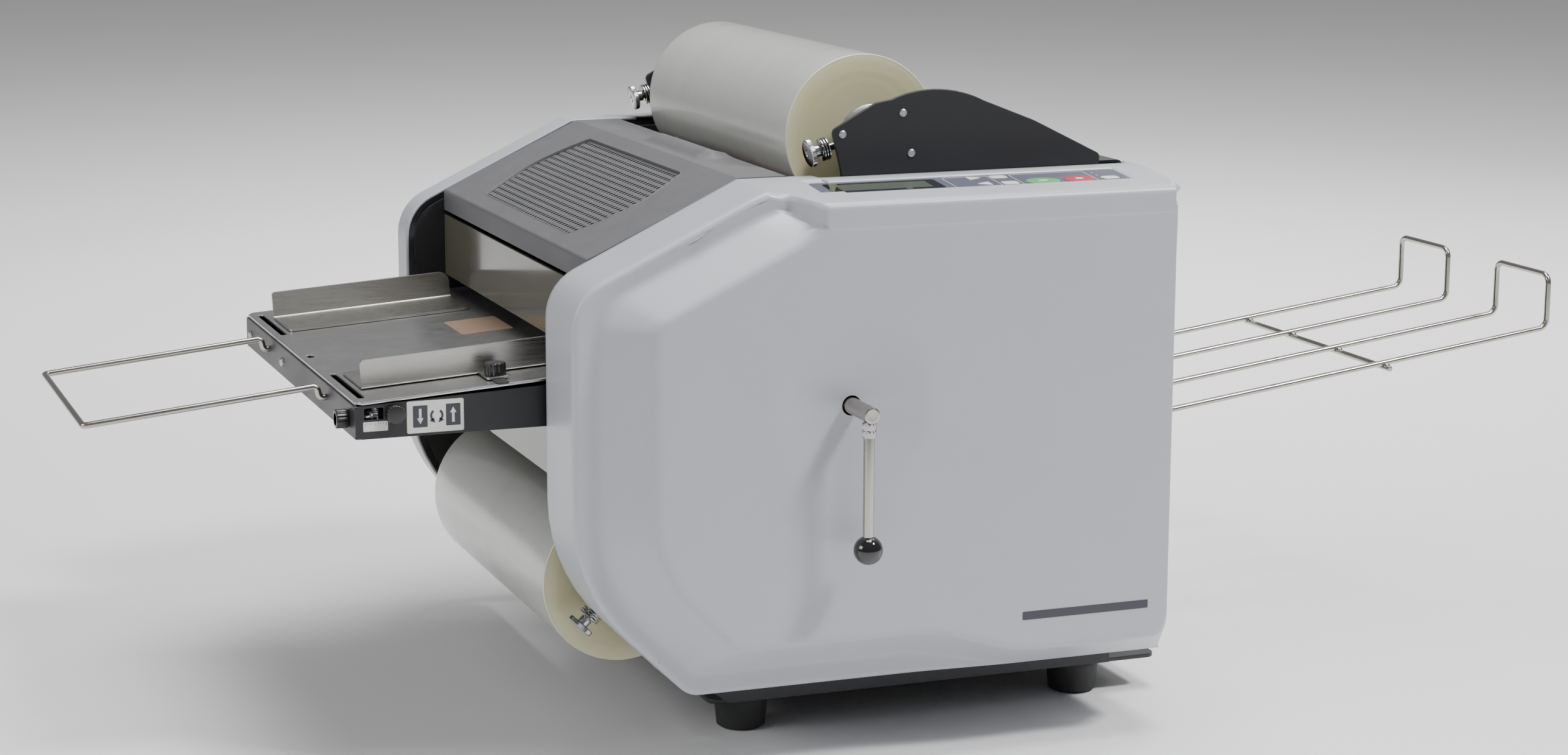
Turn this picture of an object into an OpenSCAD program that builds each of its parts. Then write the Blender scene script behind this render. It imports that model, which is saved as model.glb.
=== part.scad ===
// Desktop roll-film laminator with a sheet feeder.
// Millimetres. +Y is the feed direction, +X is the side with the pressure lever, +Z is up.
// The machine is laid out about its own centre plane and floor, then moved so that
// the origin is the middle of its outline on the floor.

/* [Machine] */
// Distance between the inner faces of the two side plates
plate_gap = 402; // [380:1:430]
// Width of the film on the two supply rolls
film_w = 320; // [250:1:330]
// Height of the top of the side covers
cover_top = 426; // [410:1:440]
// Position of the rear edge of the side covers
cover_rear = 237; // [230:1:260]
// Height of the feet
foot_h = 25; // [20:1:30]

/* [Rollers] */
// Radius of the two rubber nip rollers
nip_r = 26; // [22:0.5:27]
// Radius of the two pull rollers
pull_r = 16; // [12:0.5:18]
// Radius of the upper film roll
upper_film_r = 61.3; // [45:0.1:63]
// Radius of the lower film roll
lower_film_r = 62.9; // [45:0.1:64]
// Radius of the cardboard cores of the film rolls
core_r = 15; // [15:0.1:16]

/* [Lever] */
// Distance from the lever shaft to the middle of the ball knob
lever_len = 99; // [80:1:130]
// Radius of the ball knob
ball_r = 10.7; // [8:0.1:12]

/* [Feed tray] */
// Width of the feed tray
tray_w = 392; // [370:1:394]
// Position of the front face of the feed tray
tray_front = -368.6; // [-400:0.2:-350]
// Distance between the faces of the two sheet guides
guide_gap = 312; // [250:1:318]
// Height of the guides above the deck
guide_h = 22.5; // [16:0.5:28]

/* [Output rack] */
// Position of the far end of the output rack
rack_end = 683.7; // [500:0.1:800]
// Height of the upturned ends of the rack
rack_lip = 45; // [25:1:60]

/* [Hidden] */
$fn = 64;

// General values
eps = 0.01;
run = 0.05;               // running clearance between a shaft and its hole
gap = 0.4;                // clearance between pieces that slide past each other
steps = 5;                // chords in a rounded corner of an outline

// Side plates and base
plate_in = plate_gap/2;
plate_t = 3;
plate_out = plate_in + plate_t;
base_t = 3.5;
plate_foot = -88;         // front end of the side plates on the base
flange = 25;              // width of the side plates' flange on the base
flange_len = 308;
plate_inset = 7;          // from the covers' outline to the side plates'
base_top = foot_h + base_t;
base_half = 193;
base_front = -100;
base_rear = cover_rear + 40;
foot_x = 171.6;
foot_y = [-67.5, cover_rear - 23.4];

// Side covers: an outline seen from the side, front to the left
cover_front = -229.5;
cover_bottom = 58;
vertex_y = -83;           // where the sloping front of the top begins
slope = 25.4;             // angle of the sloping front of the top
slope_z = cover_top - (vertex_y - cover_front)*tan(slope);
chamfer_sum = -85;        // y + z along the 45 degree lower front
wall = 2.5;
slot_y = [-145, 232];     // bottom slot of a cover, for the side plate
notch_y = [-24, 228];     // top slot of a cover, for the reel bracket
notch_depth = 12;
cover_grey = [0.78, 0.79, 0.82];
right_rim = 271;
right_face = 303;
left_rim = 237;
left_face = 262;
rim_band = 15.5;          // width of the flat band round the raised body
skirt_y = 115;            // where the lower edge of the raised body reaches its lowest
skirt_rise = 20;          // height of that edge above the cover's bottom
housing_front = -67;      // front wall of the panel housing, at the rim
housing_lean = 14;        // how far that wall moves back at the face
housing_z = 380;          // lowest part of the housing
panel_start = 233;        // where the panel's slope begins
panel_tilt = 5.7;
dish_r = 59.5;
dish_depth = 7;

// Rollers and lever
nip_y = -70;
nip_z = 300;
roller_half = film_w/2 + 5;
centre_gap = 2*nip_r + gap;
lower_nip_z = nip_z - centre_gap/2;
upper_nip_z = nip_z + centre_gap/2;
nip_shaft_r = 7.5;
pull_y = 130;
pull_z = [nip_z - pull_r - gap/2, nip_z + pull_r + gap/2];
pull_shaft_r = 5;
lever_y = -28.5;
lever_z = 271.3;
lever_shaft_r = 6;
lever_end = right_face + 32;
hang_x = lever_end - 6;   // the lever hangs at this x
rod_r = 4;
cam_r = 10;
cam_throw = 3;
lift = 4.5;               // rise of the upper roller over the lever's swing
block_x = [184, 196];

// Gears, outside the right side plate
gear_x = plate_out + 2;
gear_w = 8;
gear_r = centre_gap/2;
nip_teeth = 24;
pinion_teeth = 12;
pinion_r = gear_r*pinion_teeth/nip_teeth;
pinion_angle = 240;
pinion_y = nip_y + (gear_r + pinion_r)*cos(pinion_angle);
pinion_z = lower_nip_z + (gear_r + pinion_r)*sin(pinion_angle);
motor_x = gear_x + gear_w + 4;
motor_shaft_r = 4;

// Film rolls
upper_y = 33.7;
upper_z = 448.5;
lower_y = -157.4;
lower_z = 119.8;
mandrel_r = 10;
stub_r = 6;
drum_r = 25;
core_wall = 2.3;          // leaves a 1 inch bore

// Brackets that carry the upper film roll
ear_in = plate_out + 9;
ear_t = 4;
ear_out = ear_in + ear_t;
tab_x = plate_in - 6;
brake_tilt = 14;
brake_x = [206, 190];     // upper and lower brake knobs
knob_r = 10.2;
screw_r = 3;

// Top cover and shields
lid_half = plate_in - 0.6;
lid_front = -197;
lid_fold = [-196, 372];
lid_bottom = 355;
lid_rear = -40;
lid_t = 2;
lid_axis = [-187, 366];
lid_pin_r = 3;
lid_lug_r = 6.5;
lid_angle = atan2(cover_top - lid_fold[1], vertex_y + 3 - lid_fold[0]);
shield_y = -197;
shield_t = 3;

// Feed tray
tray_bottom = 250.5;
tray_rear = -150;
tray_half = tray_w/2;
tray_wall = 2;
deck_front = tray_front + 4;
deck_z = 277.5;           // top of the deck at its front edge
deck_tilt = 3.65;
deck_t = 2.5;
guide_t = 1.5;
guide_start = -354;
guide_end = -205;
flange_w = 64;
lock_y = -258;
pad_half = 29;
pad_front = -238;
feed_roller_y = -168;
feed_roller_r = 20;
feed_roller_z = deck_top(feed_roller_y) + feed_roller_r + 0.6;
wire_r = 2.5;
loop_half = 102.2;
loop_end = tray_front - 178.5;

// Output rack
rack_slope = 7.35;
rack_root = cover_rear - 15;
rack_x = [-114, -38.3, 38.3, 114];
rack_root_z = 193.3;
rack_tip_z = rack_root_z + (rack_end - rack_root)*tan(rack_slope);

// Middle of the outline on the floor
shift_x = (hang_x + ball_r - left_face)/2;
shift_y = (loop_end + rack_end)/2;

function deck_top(y) = deck_z + (y - deck_front)*tan(deck_tilt);
function unit(v) = v/norm(v);

// Points of an arc of radius r that rounds the corner b between a and c, in 2D or 3D
function corner_arc(a, b, c, r) =
  r <= 0 ? [b] :
  let (
    u = unit(a - b),
    w = unit(c - b),
    half = acos(u*w)/2,
    centre = b + unit(u + w)*r/sin(half),
    from = b + u*r/tan(half) - centre,
    to = b + w*r/tan(half) - centre,
    sweep = 180 - 2*half
  )
  [for (i = [0:steps])
    centre + (from*sin(sweep*(1 - i/steps)) + to*sin(sweep*i/steps))/sin(sweep)];

// Closed outline with its corners rounded: corners and radii are lists of the same length
function rounded(corners, radii) =
  let (n = len(corners))
  [for (i = [0:n - 1]) each corner_arc(corners[(i + n - 1)%n], corners[i], corners[(i + 1)%n], radii[i])];

// Open path with its inner corners rounded
function bent(path, r) =
  let (n = len(path))
  [
    path[0],
    for (i = [1:n - 2]) each corner_arc(path[i - 1], path[i], path[i + 1], r),
    path[n - 1]
  ];

// Where two lines meet, each given by a point and a direction
function meet(p, u, q, w) =
  let (k = ((q - p)[0]*w[1] - (q - p)[1]*w[0])/(u[0]*w[1] - u[1]*w[0]))
  p + u*k;

// Outline corners moved inwards, each edge by its own distance. Corners run clockwise.
function inset(pts, d) =
  let (
    n = len(pts),
    dir = [for (i = [0:n - 1]) unit(pts[(i + 1)%n] - pts[i])],
    moved = [for (i = [0:n - 1]) pts[i] + d[i]*[dir[i][1], -dir[i][0]]]
  )
  [for (i = [0:n - 1]) meet(moved[(i + n - 1)%n], dir[(i + n - 1)%n], moved[i], dir[i])];

// Corners of the side outline: bottom rear, bottom front, chamfer, front, vertex, top rear
cover_corners = [
  [cover_rear, cover_bottom],
  [chamfer_sum - cover_bottom, cover_bottom],
  [cover_front, chamfer_sum - cover_front],
  [cover_front, slope_z],
  [vertex_y, cover_top],
  [cover_rear, cover_top]
];
rim_radii = [3, 20, 130, 38, 8, 6];
band_inset = [17.5, 15, 16.5, 14.5, 12.5, 0.5];
face_inset = [41.5, 47, 52, 38.3, 25, 10];
face_radii = [14, 5, 100, 10, 6, 6];
even = [1, 1, 1, 1, 1, 1];

// Extrudes a side outline (y, z) along X from x0 to x1
module across(x0, x1) {
  translate([x0, 0, 0]) rotate([90, 0, 90]) linear_extrude(x1 - x0) children();
}

// Cylinder along X
module rod_x(y, z, r, x0, x1) {
  translate([x0, y, z]) rotate([0, 90, 0]) cylinder(h = x1 - x0, r = r);
}

// Round wire along a path
module wire(path, r) {
  for (i = [0:len(path) - 2]) {
    hull() {
      translate(path[i]) sphere(r, $fn = 12);
      translate(path[i + 1]) sphere(r, $fn = 12);
    }
  }
}

// Both sides of the machine
module both_sides() {
  children();
  mirror([1, 0, 0]) children();
}

// Gear with straight-sided teeth about the X axis; a tooth points along the angle phase
module gear(teeth, pitch_r, phase) {
  m = 2*pitch_r/teeth;
  step = 360/teeth;
  root_r = pitch_r - 1.15*m;
  tip_r = pitch_r + 0.8*m;
  across(gear_x, gear_x + gear_w)
    union() {
      circle(root_r + eps);
      for (i = [0:teeth - 1]) {
        rotate(phase + i*step)
          polygon([
            [0, -root_r*sin(0.25*step)],
            [root_r, -root_r*sin(0.25*step)],
            [tip_r, -tip_r*sin(0.1*step)],
            [tip_r, tip_r*sin(0.1*step)],
            [root_r, root_r*sin(0.25*step)],
            [0, root_r*sin(0.25*step)]
          ]);
      }
    }
}

// ---- Frame ----

module base_plate() {
  color("dimgray") difference() {
    rounded_plate(base_half, base_front, base_rear, 8, foot_h, base_t);
    foot_positions() translate([0, 0, foot_h - 1]) cylinder(h = base_t + 2, r = 2.2);
  }
}

// Flat plate with rounded corners
module rounded_plate(half, y0, y1, r, z, t) {
  corners = [[-half, y0], [-half, y1], [half, y1], [half, y0]];
  translate([0, 0, z]) linear_extrude(t) polygon(rounded(corners, [r, r, r, r]));
}

module foot_positions() {
  for (x = [-foot_x, foot_x], y = foot_y) translate([x, y, 0]) children();
}

module feet() {
  color([0.16, 0.16, 0.17]) foot_positions() {
    cylinder(h = 2, r1 = 16.6, r2 = 18.6);
    translate([0, 0, 2]) cylinder(h = foot_h - 2, r1 = 18.6, r2 = 21);
  }
}

plate_corners = inset(cover_corners, plate_inset*even);

// Rounding of a side plate's corner, in line with the cover's
function plate_arc(i) =
  corner_arc(plate_corners[i - 1], plate_corners[i], plate_corners[i + 1], rim_radii[i] - plate_inset);

module side_plate() {
  difference() {
    union() {
      across(plate_in, plate_out) polygon([
        [cover_rear - plate_inset, base_top],
        [plate_foot, base_top],
        plate_corners[1],
        each plate_arc(2),
        each plate_arc(3),
        plate_corners[4],
        plate_corners[5]
      ]);
      translate([plate_in - flange, plate_foot, base_top])
        cube([flange + eps, flange_len, plate_t]);
      rod_x(lid_axis[0], lid_axis[1], lid_lug_r, plate_in, plate_out);
    }
    hole(lower_y, lower_z, stub_r + run);
    hole(nip_y, lower_nip_z, nip_shaft_r + run);
    hole(lever_y, lever_z, lever_shaft_r + run);
    hole(feed_roller_y, feed_roller_z, pull_shaft_r + run);
    for (z = pull_z) hole(pull_y, z, pull_shaft_r + run);
    hole(lid_axis[0], lid_axis[1], lid_pin_r + run);
    nip_slot();
  }
}

// Hole through a side plate
module hole(y, z, r) {
  rod_x(y, z, r, plate_in - 1, plate_out + 1);
}

// Upright slot that lets the upper nip shaft rise
module nip_slot() {
  r = nip_shaft_r + gap;
  hole(nip_y, upper_nip_z, r);
  hole(nip_y, upper_nip_z + lift, r);
  translate([plate_in - 1, nip_y - r, upper_nip_z]) cube([plate_t + 2, 2*r, lift]);
}

module side_plates() {
  color([0.09, 0.09, 0.1]) both_sides() side_plate();
}

tie_places = [[205, 60], [-60, 60], [205, 385], [60, 205]];

module tie_bars() {
  color("silver") {
    for (p = tie_places) rod_x(p[0], p[1], 6, -plate_in, plate_in);
    difference() {
      translate([-plate_in, rack_root - 8, rack_root_z - 8]) cube([2*plate_in, 14, 16]);
      rack_sockets(wire_r + run);
    }
  }
}

// Holes along the rack wires at their roots
module rack_sockets(r) {
  for (x = rack_x) {
    translate([x, rack_root - 4, rack_root_z]) rotate([rack_slope - 90, 0, 0]) cylinder(h = 40, r = r);
  }
}

// ---- Side covers ----

// Slab of an outline at one x, for blending
module slab(corners, radii, x) {
  across(x - 0.1, x) polygon(rounded(corners, radii));
}

// Filled side cover: the rim, then the raised body that narrows to the face
module cover_solid(inner, rim, face, d) {
  shrink = d*even;
  rim_r = [for (r = rim_radii) max(r - d, 1)];
  face_r = [for (r = face_radii) max(r - d, 1)];
  across(inner, rim - d) polygon(rounded(inset(cover_corners, shrink), rim_r));
  hull() {
    slab(inset(cover_corners, band_inset + shrink), rim_r, rim - d);
    slab(inset(cover_corners, face_inset + shrink), face_r, face - d);
  }
}

// The lower rear of the body spreads down to the rim
module cover_skirt(rim, face, d) {
  rear = cover_rear - face_inset[5];
  sheet = 0.1;
  hull() {
    for (end = [[rim - d, 0.5], [face - d, skirt_rise]]) {
      translate([end[0] - sheet, skirt_y, cover_bottom + end[1] + d])
        cube([sheet, rear - skirt_y - d, 60]);
      translate([end[0] - sheet, skirt_y - 95, cover_bottom + face_inset[0] + d])
        cube([sheet, 40, 30]);
    }
  }
}

// Box that holds the control panel on the right cover
module panel_housing(d) {
  deep = 70;
  h = cover_top - housing_z - d;
  front = housing_front + housing_lean;
  rear = cover_rear - face_inset[5];
  hull() {
    translate([right_rim - deep + d, housing_front + d, housing_z])
      cube([deep - 2*d, cover_rear - housing_front - 2*d, h]);
    translate([right_rim, front + d, housing_z])
      cube([right_face - right_rim - d, rear - front - 2*d, h]);
  }
}

// Space above the sloping panel
module above_panel(d) {
  translate([panel_start, housing_front, cover_top - d])
    rotate([0, panel_tilt, 0])
      translate([0, -20, 0]) cube([90, cover_rear - housing_front + 40, 40]);
}

module right_body(d) {
  difference() {
    union() {
      cover_solid(plate_in + (d > 0 ? -1 : 0), right_rim, right_face, d);
      cover_skirt(right_rim, right_face, d);
      panel_housing(d);
    }
    above_panel(d);
    dish(d);
  }
}

// Shallow round hollow about the lever shaft
module dish(d) {
  big_r = (dish_r*dish_r + dish_depth*dish_depth)/(2*dish_depth);
  translate([right_face - dish_depth + big_r, lever_y, lever_z]) sphere(big_r + d, $fn = 96);
}

// Slot in the top of a cover for the bracket of the upper film roll
module ear_notch() {
  translate([plate_in - 1, notch_y[0], cover_top - notch_depth])
    cube([ear_out - plate_in + 1 + gap, notch_y[1] - notch_y[0], 2*notch_depth]);
}

// Slot in the bottom of a cover for the lower end of the side plate
module plate_slot() {
  translate([plate_in - 1, slot_y[0], cover_bottom - 1])
    cube([plate_t + 1 + gap, slot_y[1] - slot_y[0], wall + 2]);
}

module right_cover() {
  color(cover_grey) difference() {
    right_body(0);
    right_body(wall);
    ear_notch();
    plate_slot();
    rod_x(lever_y, lever_z, lever_shaft_r + 1, right_rim, right_face + 5);
    on_panel() translate([-panel_w/2 - gap/2, -panel_l/2 - gap/2, -8])
      cube([panel_w + gap, panel_l + gap, 20]);
  }
}

module left_cover() {
  color(cover_grey) mirror([1, 0, 0]) difference() {
    union() {
      cover_solid(plate_in, left_rim, left_face, 0);
      cover_skirt(left_rim, left_face, 0);
    }
    union() {
      cover_solid(plate_in - 1, left_rim, left_face, wall);
      cover_skirt(left_rim, left_face, wall);
    }
    ear_notch();
    plate_slot();
  }
}

// ---- Control panel ----

panel_w = 38;
panel_l = 245;
panel_mid = [23, 82.5];   // along the slope from its start, and in y
key_gap = 0.35;
key_rise = 0.6;
window_l = 88;

// Key name, place along the slope and along y, size along both, round or square
start_place = [8, 53];
stop_place = [7, 83];
up_place = [-10, 6];
down_place = [8, 5];
mode_place = [-10, 25];
select_place = [9, 26];
jog_place = [8, 108];
start_size = [18, 27];
stop_size = [17, 25];
small_key = [9, 13];
arrow_key = [11, 12];

// Frame on the sloping panel: origin at its middle, z out of the panel
module on_panel() {
  translate([panel_start, panel_mid[1], cover_top])
    rotate([0, panel_tilt, 0]) translate([panel_mid[0], 0, 0]) children();
}

// Key with round ends, its size given across and along
module oval_key(place, size, grow, z0, z1) {
  r = size[0]/2;
  reach = size[1]/2 - r;
  for (s = [-1, 1])
    translate([place[0], place[1] + s*reach, z0]) cylinder(h = z1 - z0, r = r + grow);
  translate([place[0] - r - grow, place[1] - reach, z0]) cube([2*(r + grow), 2*reach, z1 - z0]);
}

module square_key(place, size, grow, z0, z1) {
  translate([place[0] - size[0]/2 - grow, place[1] - size[1]/2 - grow, z0])
    cube([size[0] + 2*grow, size[1] + 2*grow, z1 - z0]);
}

module all_keys(grow, z0, z1) {
  oval_key(start_place, start_size, grow, z0, z1);
  oval_key(stop_place, stop_size, grow, z0, z1);
  for (p = [up_place, down_place]) square_key(p, arrow_key, grow, z0, z1);
  for (p = [mode_place, select_place, jog_place]) square_key(p, small_key, grow, z0, z1);
}

module panel_overlay() {
  color([0.33, 0.34, 0.4]) on_panel() difference() {
    union() {
      translate([-panel_w/2, -panel_l/2, -3]) cube([panel_w, panel_l, 2]);
      translate([-panel_w/2 - 3, -panel_l/2 - 3, -4.5]) cube([panel_w + 6, panel_l + 6, 1.5]);
    }
    all_keys(key_gap, -6, 0);
    translate([-13, -panel_l/2 + 8 - gap/2, -2]) cube([26, window_l + gap, 3]);
  }
}

module display_window() {
  color([0.12, 0.14, 0.13]) on_panel()
    translate([-13 + gap/2, -panel_l/2 + 8, -2]) cube([26 - gap, window_l, 1.3]);
}

module key_oval(place, size, tint) {
  color(tint) on_panel() oval_key(place, size, 0, -3.5, -1 + key_rise);
}

module key_square(place, size, tint) {
  color(tint) on_panel() square_key(place, size, 0, -3.5, -1 + key_rise);
}

module start_key() { key_oval(start_place, start_size, [0.35, 0.7, 0.35]); }
module stop_key() { key_oval(stop_place, stop_size, [0.8, 0.15, 0.25]); }
module up_key() { key_square(up_place, arrow_key, "white"); }
module down_key() { key_square(down_place, arrow_key, "white"); }
module mode_key() { key_square(mode_place, small_key, "white"); }
module select_key() { key_square(select_place, small_key, "white"); }
module jog_key() { key_square(jog_place, small_key, "white"); }

// ---- Brackets of the film rolls and their brakes ----

// Side view of the bracket: its hump rises in an arc over the film roll's axis
module ear_outline() {
  hump = 90;
  polygon(concat(
    [[-5, 398], [-5.3, 428.5], [-13, 460], [22, 479]],
    [for (a = [118:-7:63]) [68 + hump*cos(a), 397.5 + hump*sin(a)]],
    [[150, 461.5], [205, 434], [205, 398]]
  ));
}

module roll_bracket() {
  difference() {
    union() {
      across(ear_in, ear_out) ear_outline();
      translate([plate_out, 15, 398]) cube([ear_in - plate_out + eps, 150, 18]);
      brake_tab();
    }
    rod_x(upper_y, upper_z, stub_r + run, ear_in - 5, ear_out - 1.5);
    brake_frame(0) translate([0, 0, -10]) cylinder(h = 30, r = screw_r + run);
  }
}

// Frame of a brake knob: origin where the screw meets its tab, z towards the knob
module brake_frame(lower) {
  if (lower == 0)
    translate([brake_x[0], -12.6, 446]) rotate([90 + brake_tilt, 0, 0]) children();
  else
    translate([brake_x[1], -191, 106]) rotate([135, 0, 0]) children();
}

module brake_tab() {
  brake_frame(0) translate([tab_x - brake_x[0], -17, -3]) cube([ear_out - tab_x, 30, 3]);
}

module lower_tab() {
  difference() {
    brake_frame(1) translate([-10, -13, -3]) cube([plate_in - brake_x[1] + 10, 26, 3]);
    brake_frame(1) translate([0, 0, -10]) cylinder(h = 30, r = screw_r + run);
  }
}

module roll_brackets() {
  color([0.07, 0.07, 0.08]) both_sides() {
    roll_bracket();
    lower_tab();
  }
}

// Thumb knob with its neck and screw
module brake_knob(lower) {
  brake_frame(lower) {
    translate([0, 0, 12]) cylinder(h = 4, r = knob_r);
    translate([0, 0, 6.5]) cylinder(h = 6, r = 4.5);
    translate([0, 0, -7]) cylinder(h = 14, r = screw_r);
  }
}

module right_upper_knob() { color("silver") brake_knob(0); }
module right_lower_knob() { color("silver") brake_knob(1); }
module left_upper_knob() { color("silver") mirror([1, 0, 0]) brake_knob(0); }
module left_lower_knob() { color("silver") mirror([1, 0, 0]) brake_knob(1); }

module washers() {
  for (i = [0:2]) {
    translate([0, 0, 0.4 + 2*i]) difference() {
      cylinder(h = 1, r = 8.6);
      translate([0, 0, -1]) cylinder(h = 3, r = screw_r + 0.5);
    }
  }
}

module brake_springs() {
  color("silver") both_sides() {
    brake_frame(0) washers();
    brake_frame(1) washers();
  }
}

// ---- Film rolls ----

module tube_x(y, z, r, hole_r, half) {
  difference() {
    rod_x(y, z, r, -half, half);
    rod_x(y, z, hole_r, -half - 1, half + 1);
  }
}

// Mandrel with two chucks that fill the core and a brake drum at each end
module mandrel(y, z, reach) {
  rod_x(y, z, mandrel_r, -roller_half - 30, roller_half + 30);
  rod_x(y, z, stub_r, -reach, reach);
  both_sides() {
    rod_x(y, z, core_r - core_wall, film_w/2 - 14, film_w/2 - 2);
    rod_x(y, z, drum_r, film_w/2 + 14, film_w/2 + 24);
  }
}

module film(y, z, r) { color([0.86, 0.86, 0.82]) tube_x(y, z, r, core_r, film_w/2); }
module core(y, z) { color("tan") tube_x(y, z, core_r, core_r - core_wall, film_w/2 + 2); }
module upper_film() { film(upper_y, upper_z, upper_film_r); }
module lower_film() { film(lower_y, lower_z, lower_film_r); }
module upper_core() { core(upper_y, upper_z); }
module lower_core() { core(lower_y, lower_z); }
module upper_mandrel() { color("silver") mandrel(upper_y, upper_z, ear_out - 2); }
module lower_mandrel() { color("silver") mandrel(lower_y, lower_z, plate_out); }

// ---- Rollers and drive ----

module nip_roller(z) { color([0.75, 0.3, 0.22]) tube_x(nip_y, z, nip_r, nip_shaft_r, roller_half); }
module nip_shaft(z) { color("silver") rod_x(nip_y, z, nip_shaft_r, -plate_out - 1, gear_x + gear_w + 2); }
module upper_nip_roller() { nip_roller(upper_nip_z); }
module lower_nip_roller() { nip_roller(lower_nip_z); }
module upper_nip_shaft() { nip_shaft(upper_nip_z); }
module lower_nip_shaft() { nip_shaft(lower_nip_z); }

module bored_gear(y, z, teeth, pitch_r, phase, bore) {
  difference() {
    translate([0, y, z]) gear(teeth, pitch_r, phase);
    rod_x(y, z, bore, gear_x - 1, gear_x + gear_w + 1);
  }
}

module upper_nip_gear() {
  color("ivory") bored_gear(nip_y, upper_nip_z, nip_teeth, gear_r, 180/nip_teeth, nip_shaft_r);
}

module lower_nip_gear() {
  color("ivory") bored_gear(nip_y, lower_nip_z, nip_teeth, gear_r, 0, nip_shaft_r);
}

// Pinion cut on the motor's shaft
module motor_pinion() {
  color("goldenrod") {
    translate([0, pinion_y, pinion_z])
      gear(pinion_teeth, pinion_r, pinion_angle + 180 + 180/pinion_teeth);
    rod_x(pinion_y, pinion_z, motor_shaft_r, gear_x - 1, motor_x + 10);
  }
}

// Sliding blocks that carry the upper nip shaft; each has a foot above its cam
module nip_blocks() {
  foot_z = lever_z - cam_throw + cam_r + gap;
  color("dimgray") both_sides() difference() {
    across(block_x[0], block_x[1]) polygon([
      [nip_y - 15, upper_nip_z + 15],
      [nip_y + 15, upper_nip_z + 15],
      [lever_y + 14, nip_z],
      [lever_y + 14, foot_z],
      [lever_y - 12, foot_z],
      [nip_y + 15, nip_z],
      [nip_y - 15, nip_z]
    ]);
    rod_x(nip_y, upper_nip_z, nip_shaft_r + run, block_x[0] - 1, block_x[1] + 1);
  }
}

module pull_roller(z) {
  rod_x(pull_y, z, pull_r, -roller_half, roller_half);
  rod_x(pull_y, z, pull_shaft_r, -plate_out - 1, plate_out + 6);
}

module upper_pull_roller() { color([0.2, 0.2, 0.2]) pull_roller(pull_z[1]); }
module lower_pull_roller() { color([0.2, 0.2, 0.2]) pull_roller(pull_z[0]); }

module feed_roller() {
  color([0.25, 0.25, 0.25]) {
    rod_x(feed_roller_y, feed_roller_z, feed_roller_r, -35, 35);
    rod_x(feed_roller_y, feed_roller_z, pull_shaft_r, -plate_out - 1, plate_out + 6);
  }
}

// Gear motor on four posts, its shaft towards the side plate
module drive_motor() {
  color("gray") difference() {
    union() {
      translate([motor_x, pinion_y - 30, pinion_z - 30]) cube([22, 60, 60]);
      rod_x(pinion_y, pinion_z, 25, motor_x + 22 - eps, motor_x + 60);
      for (dy = [-24, 24]) rod_x(pinion_y + dy, pinion_z - 25, 4, plate_out, motor_x + eps);
      rod_x(pinion_y - 25, pinion_z + 25, 4, plate_out, motor_x + eps);
    }
    rod_x(pinion_y, pinion_z, motor_shaft_r + run, motor_x - 1, motor_x + 12);
  }
}

// ---- Lever ----

module lever_shaft() {
  color("silver") {
    rod_x(lever_y, lever_z, lever_shaft_r, -plate_out - 1, lever_end);
    both_sides()
      rod_x(lever_y, lever_z - cam_throw, cam_r, block_x[0] + 1, block_x[1] - 1);
  }
}

module lever_rod() {
  color("silver")
    translate([hang_x, lever_y, lever_z - lever_len])
    cylinder(h = lever_len - lever_shaft_r + 0.5, r = rod_r);
}

nut_h = 5;
nut_flats = 10;

module lever_nuts() {
  color("silver") for (i = [1, 2]) {
    translate([hang_x, lever_y, lever_z - lever_shaft_r - i*(nut_h + 0.3)]) difference() {
      cylinder(h = nut_h, r = nut_flats/2/cos(30), $fn = 6);
      translate([0, 0, -1]) cylinder(h = nut_h + 2, r = rod_r);
    }
  }
}

module lever_ball() {
  color([0.05, 0.05, 0.05]) difference() {
    translate([hang_x, lever_y, lever_z - lever_len]) sphere(ball_r);
    translate([hang_x, lever_y, lever_z - lever_len]) cylinder(h = 2*ball_r, r = rod_r);
  }
}

// ---- Top cover and shields ----

// Folded sheet: front lip, slope, flat top and rear lip
module lid_sheet() {
  top = lid_fold[1];
  across(-lid_half, lid_half) polygon([
    [lid_front, lid_bottom],
    [lid_front, top - 3],
    [lid_front + 2, top],
    [vertex_y + 3, cover_top],
    [lid_rear, cover_top],
    [lid_rear, cover_top - 10],
    [lid_rear - lid_t, cover_top - 10],
    [lid_rear - lid_t, cover_top - lid_t],
    [vertex_y + 3.4, cover_top - lid_t],
    [lid_front + 2.8, top - 2],
    [lid_front + lid_t, top - 3.5],
    [lid_front + lid_t, lid_bottom]
  ]);
}

// Frame on the sloping part of the cover, origin at its fold, y up the slope, z out
module on_slope() {
  translate([0, lid_fold[0], lid_fold[1]]) rotate([lid_angle, 0, 0]) children();
}

grille_rows = 9;
grille_pitch = [10, 10.5];

module grille() {
  for (i = [0:grille_rows - 1]) {
    half = 12 + round(1.6*sin(180*i/(grille_rows - 1)));
    for (j = [-half:half]) {
      x = (j + (i%2)/2)*grille_pitch[0];
      translate([x - 1.2, 18 + i*grille_pitch[1], -5]) cube([2.4, 5, 10]);
    }
  }
}

pull_x = [-50, 90];
pull_y0 = -72;
pull_y1 = -44;
pull_rise = 6;

// Raised finger pull with a slot that opens to the rear
module finger_pull() {
  difference() {
    translate([pull_x[0], pull_y0, cover_top - eps])
      cube([pull_x[1] - pull_x[0], pull_y1 - pull_y0, pull_rise]);
    translate([pull_x[0] - 1, pull_y0, cover_top]) rotate([35, 0, 0]) cube([200, 20, 20]);
  }
}

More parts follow.
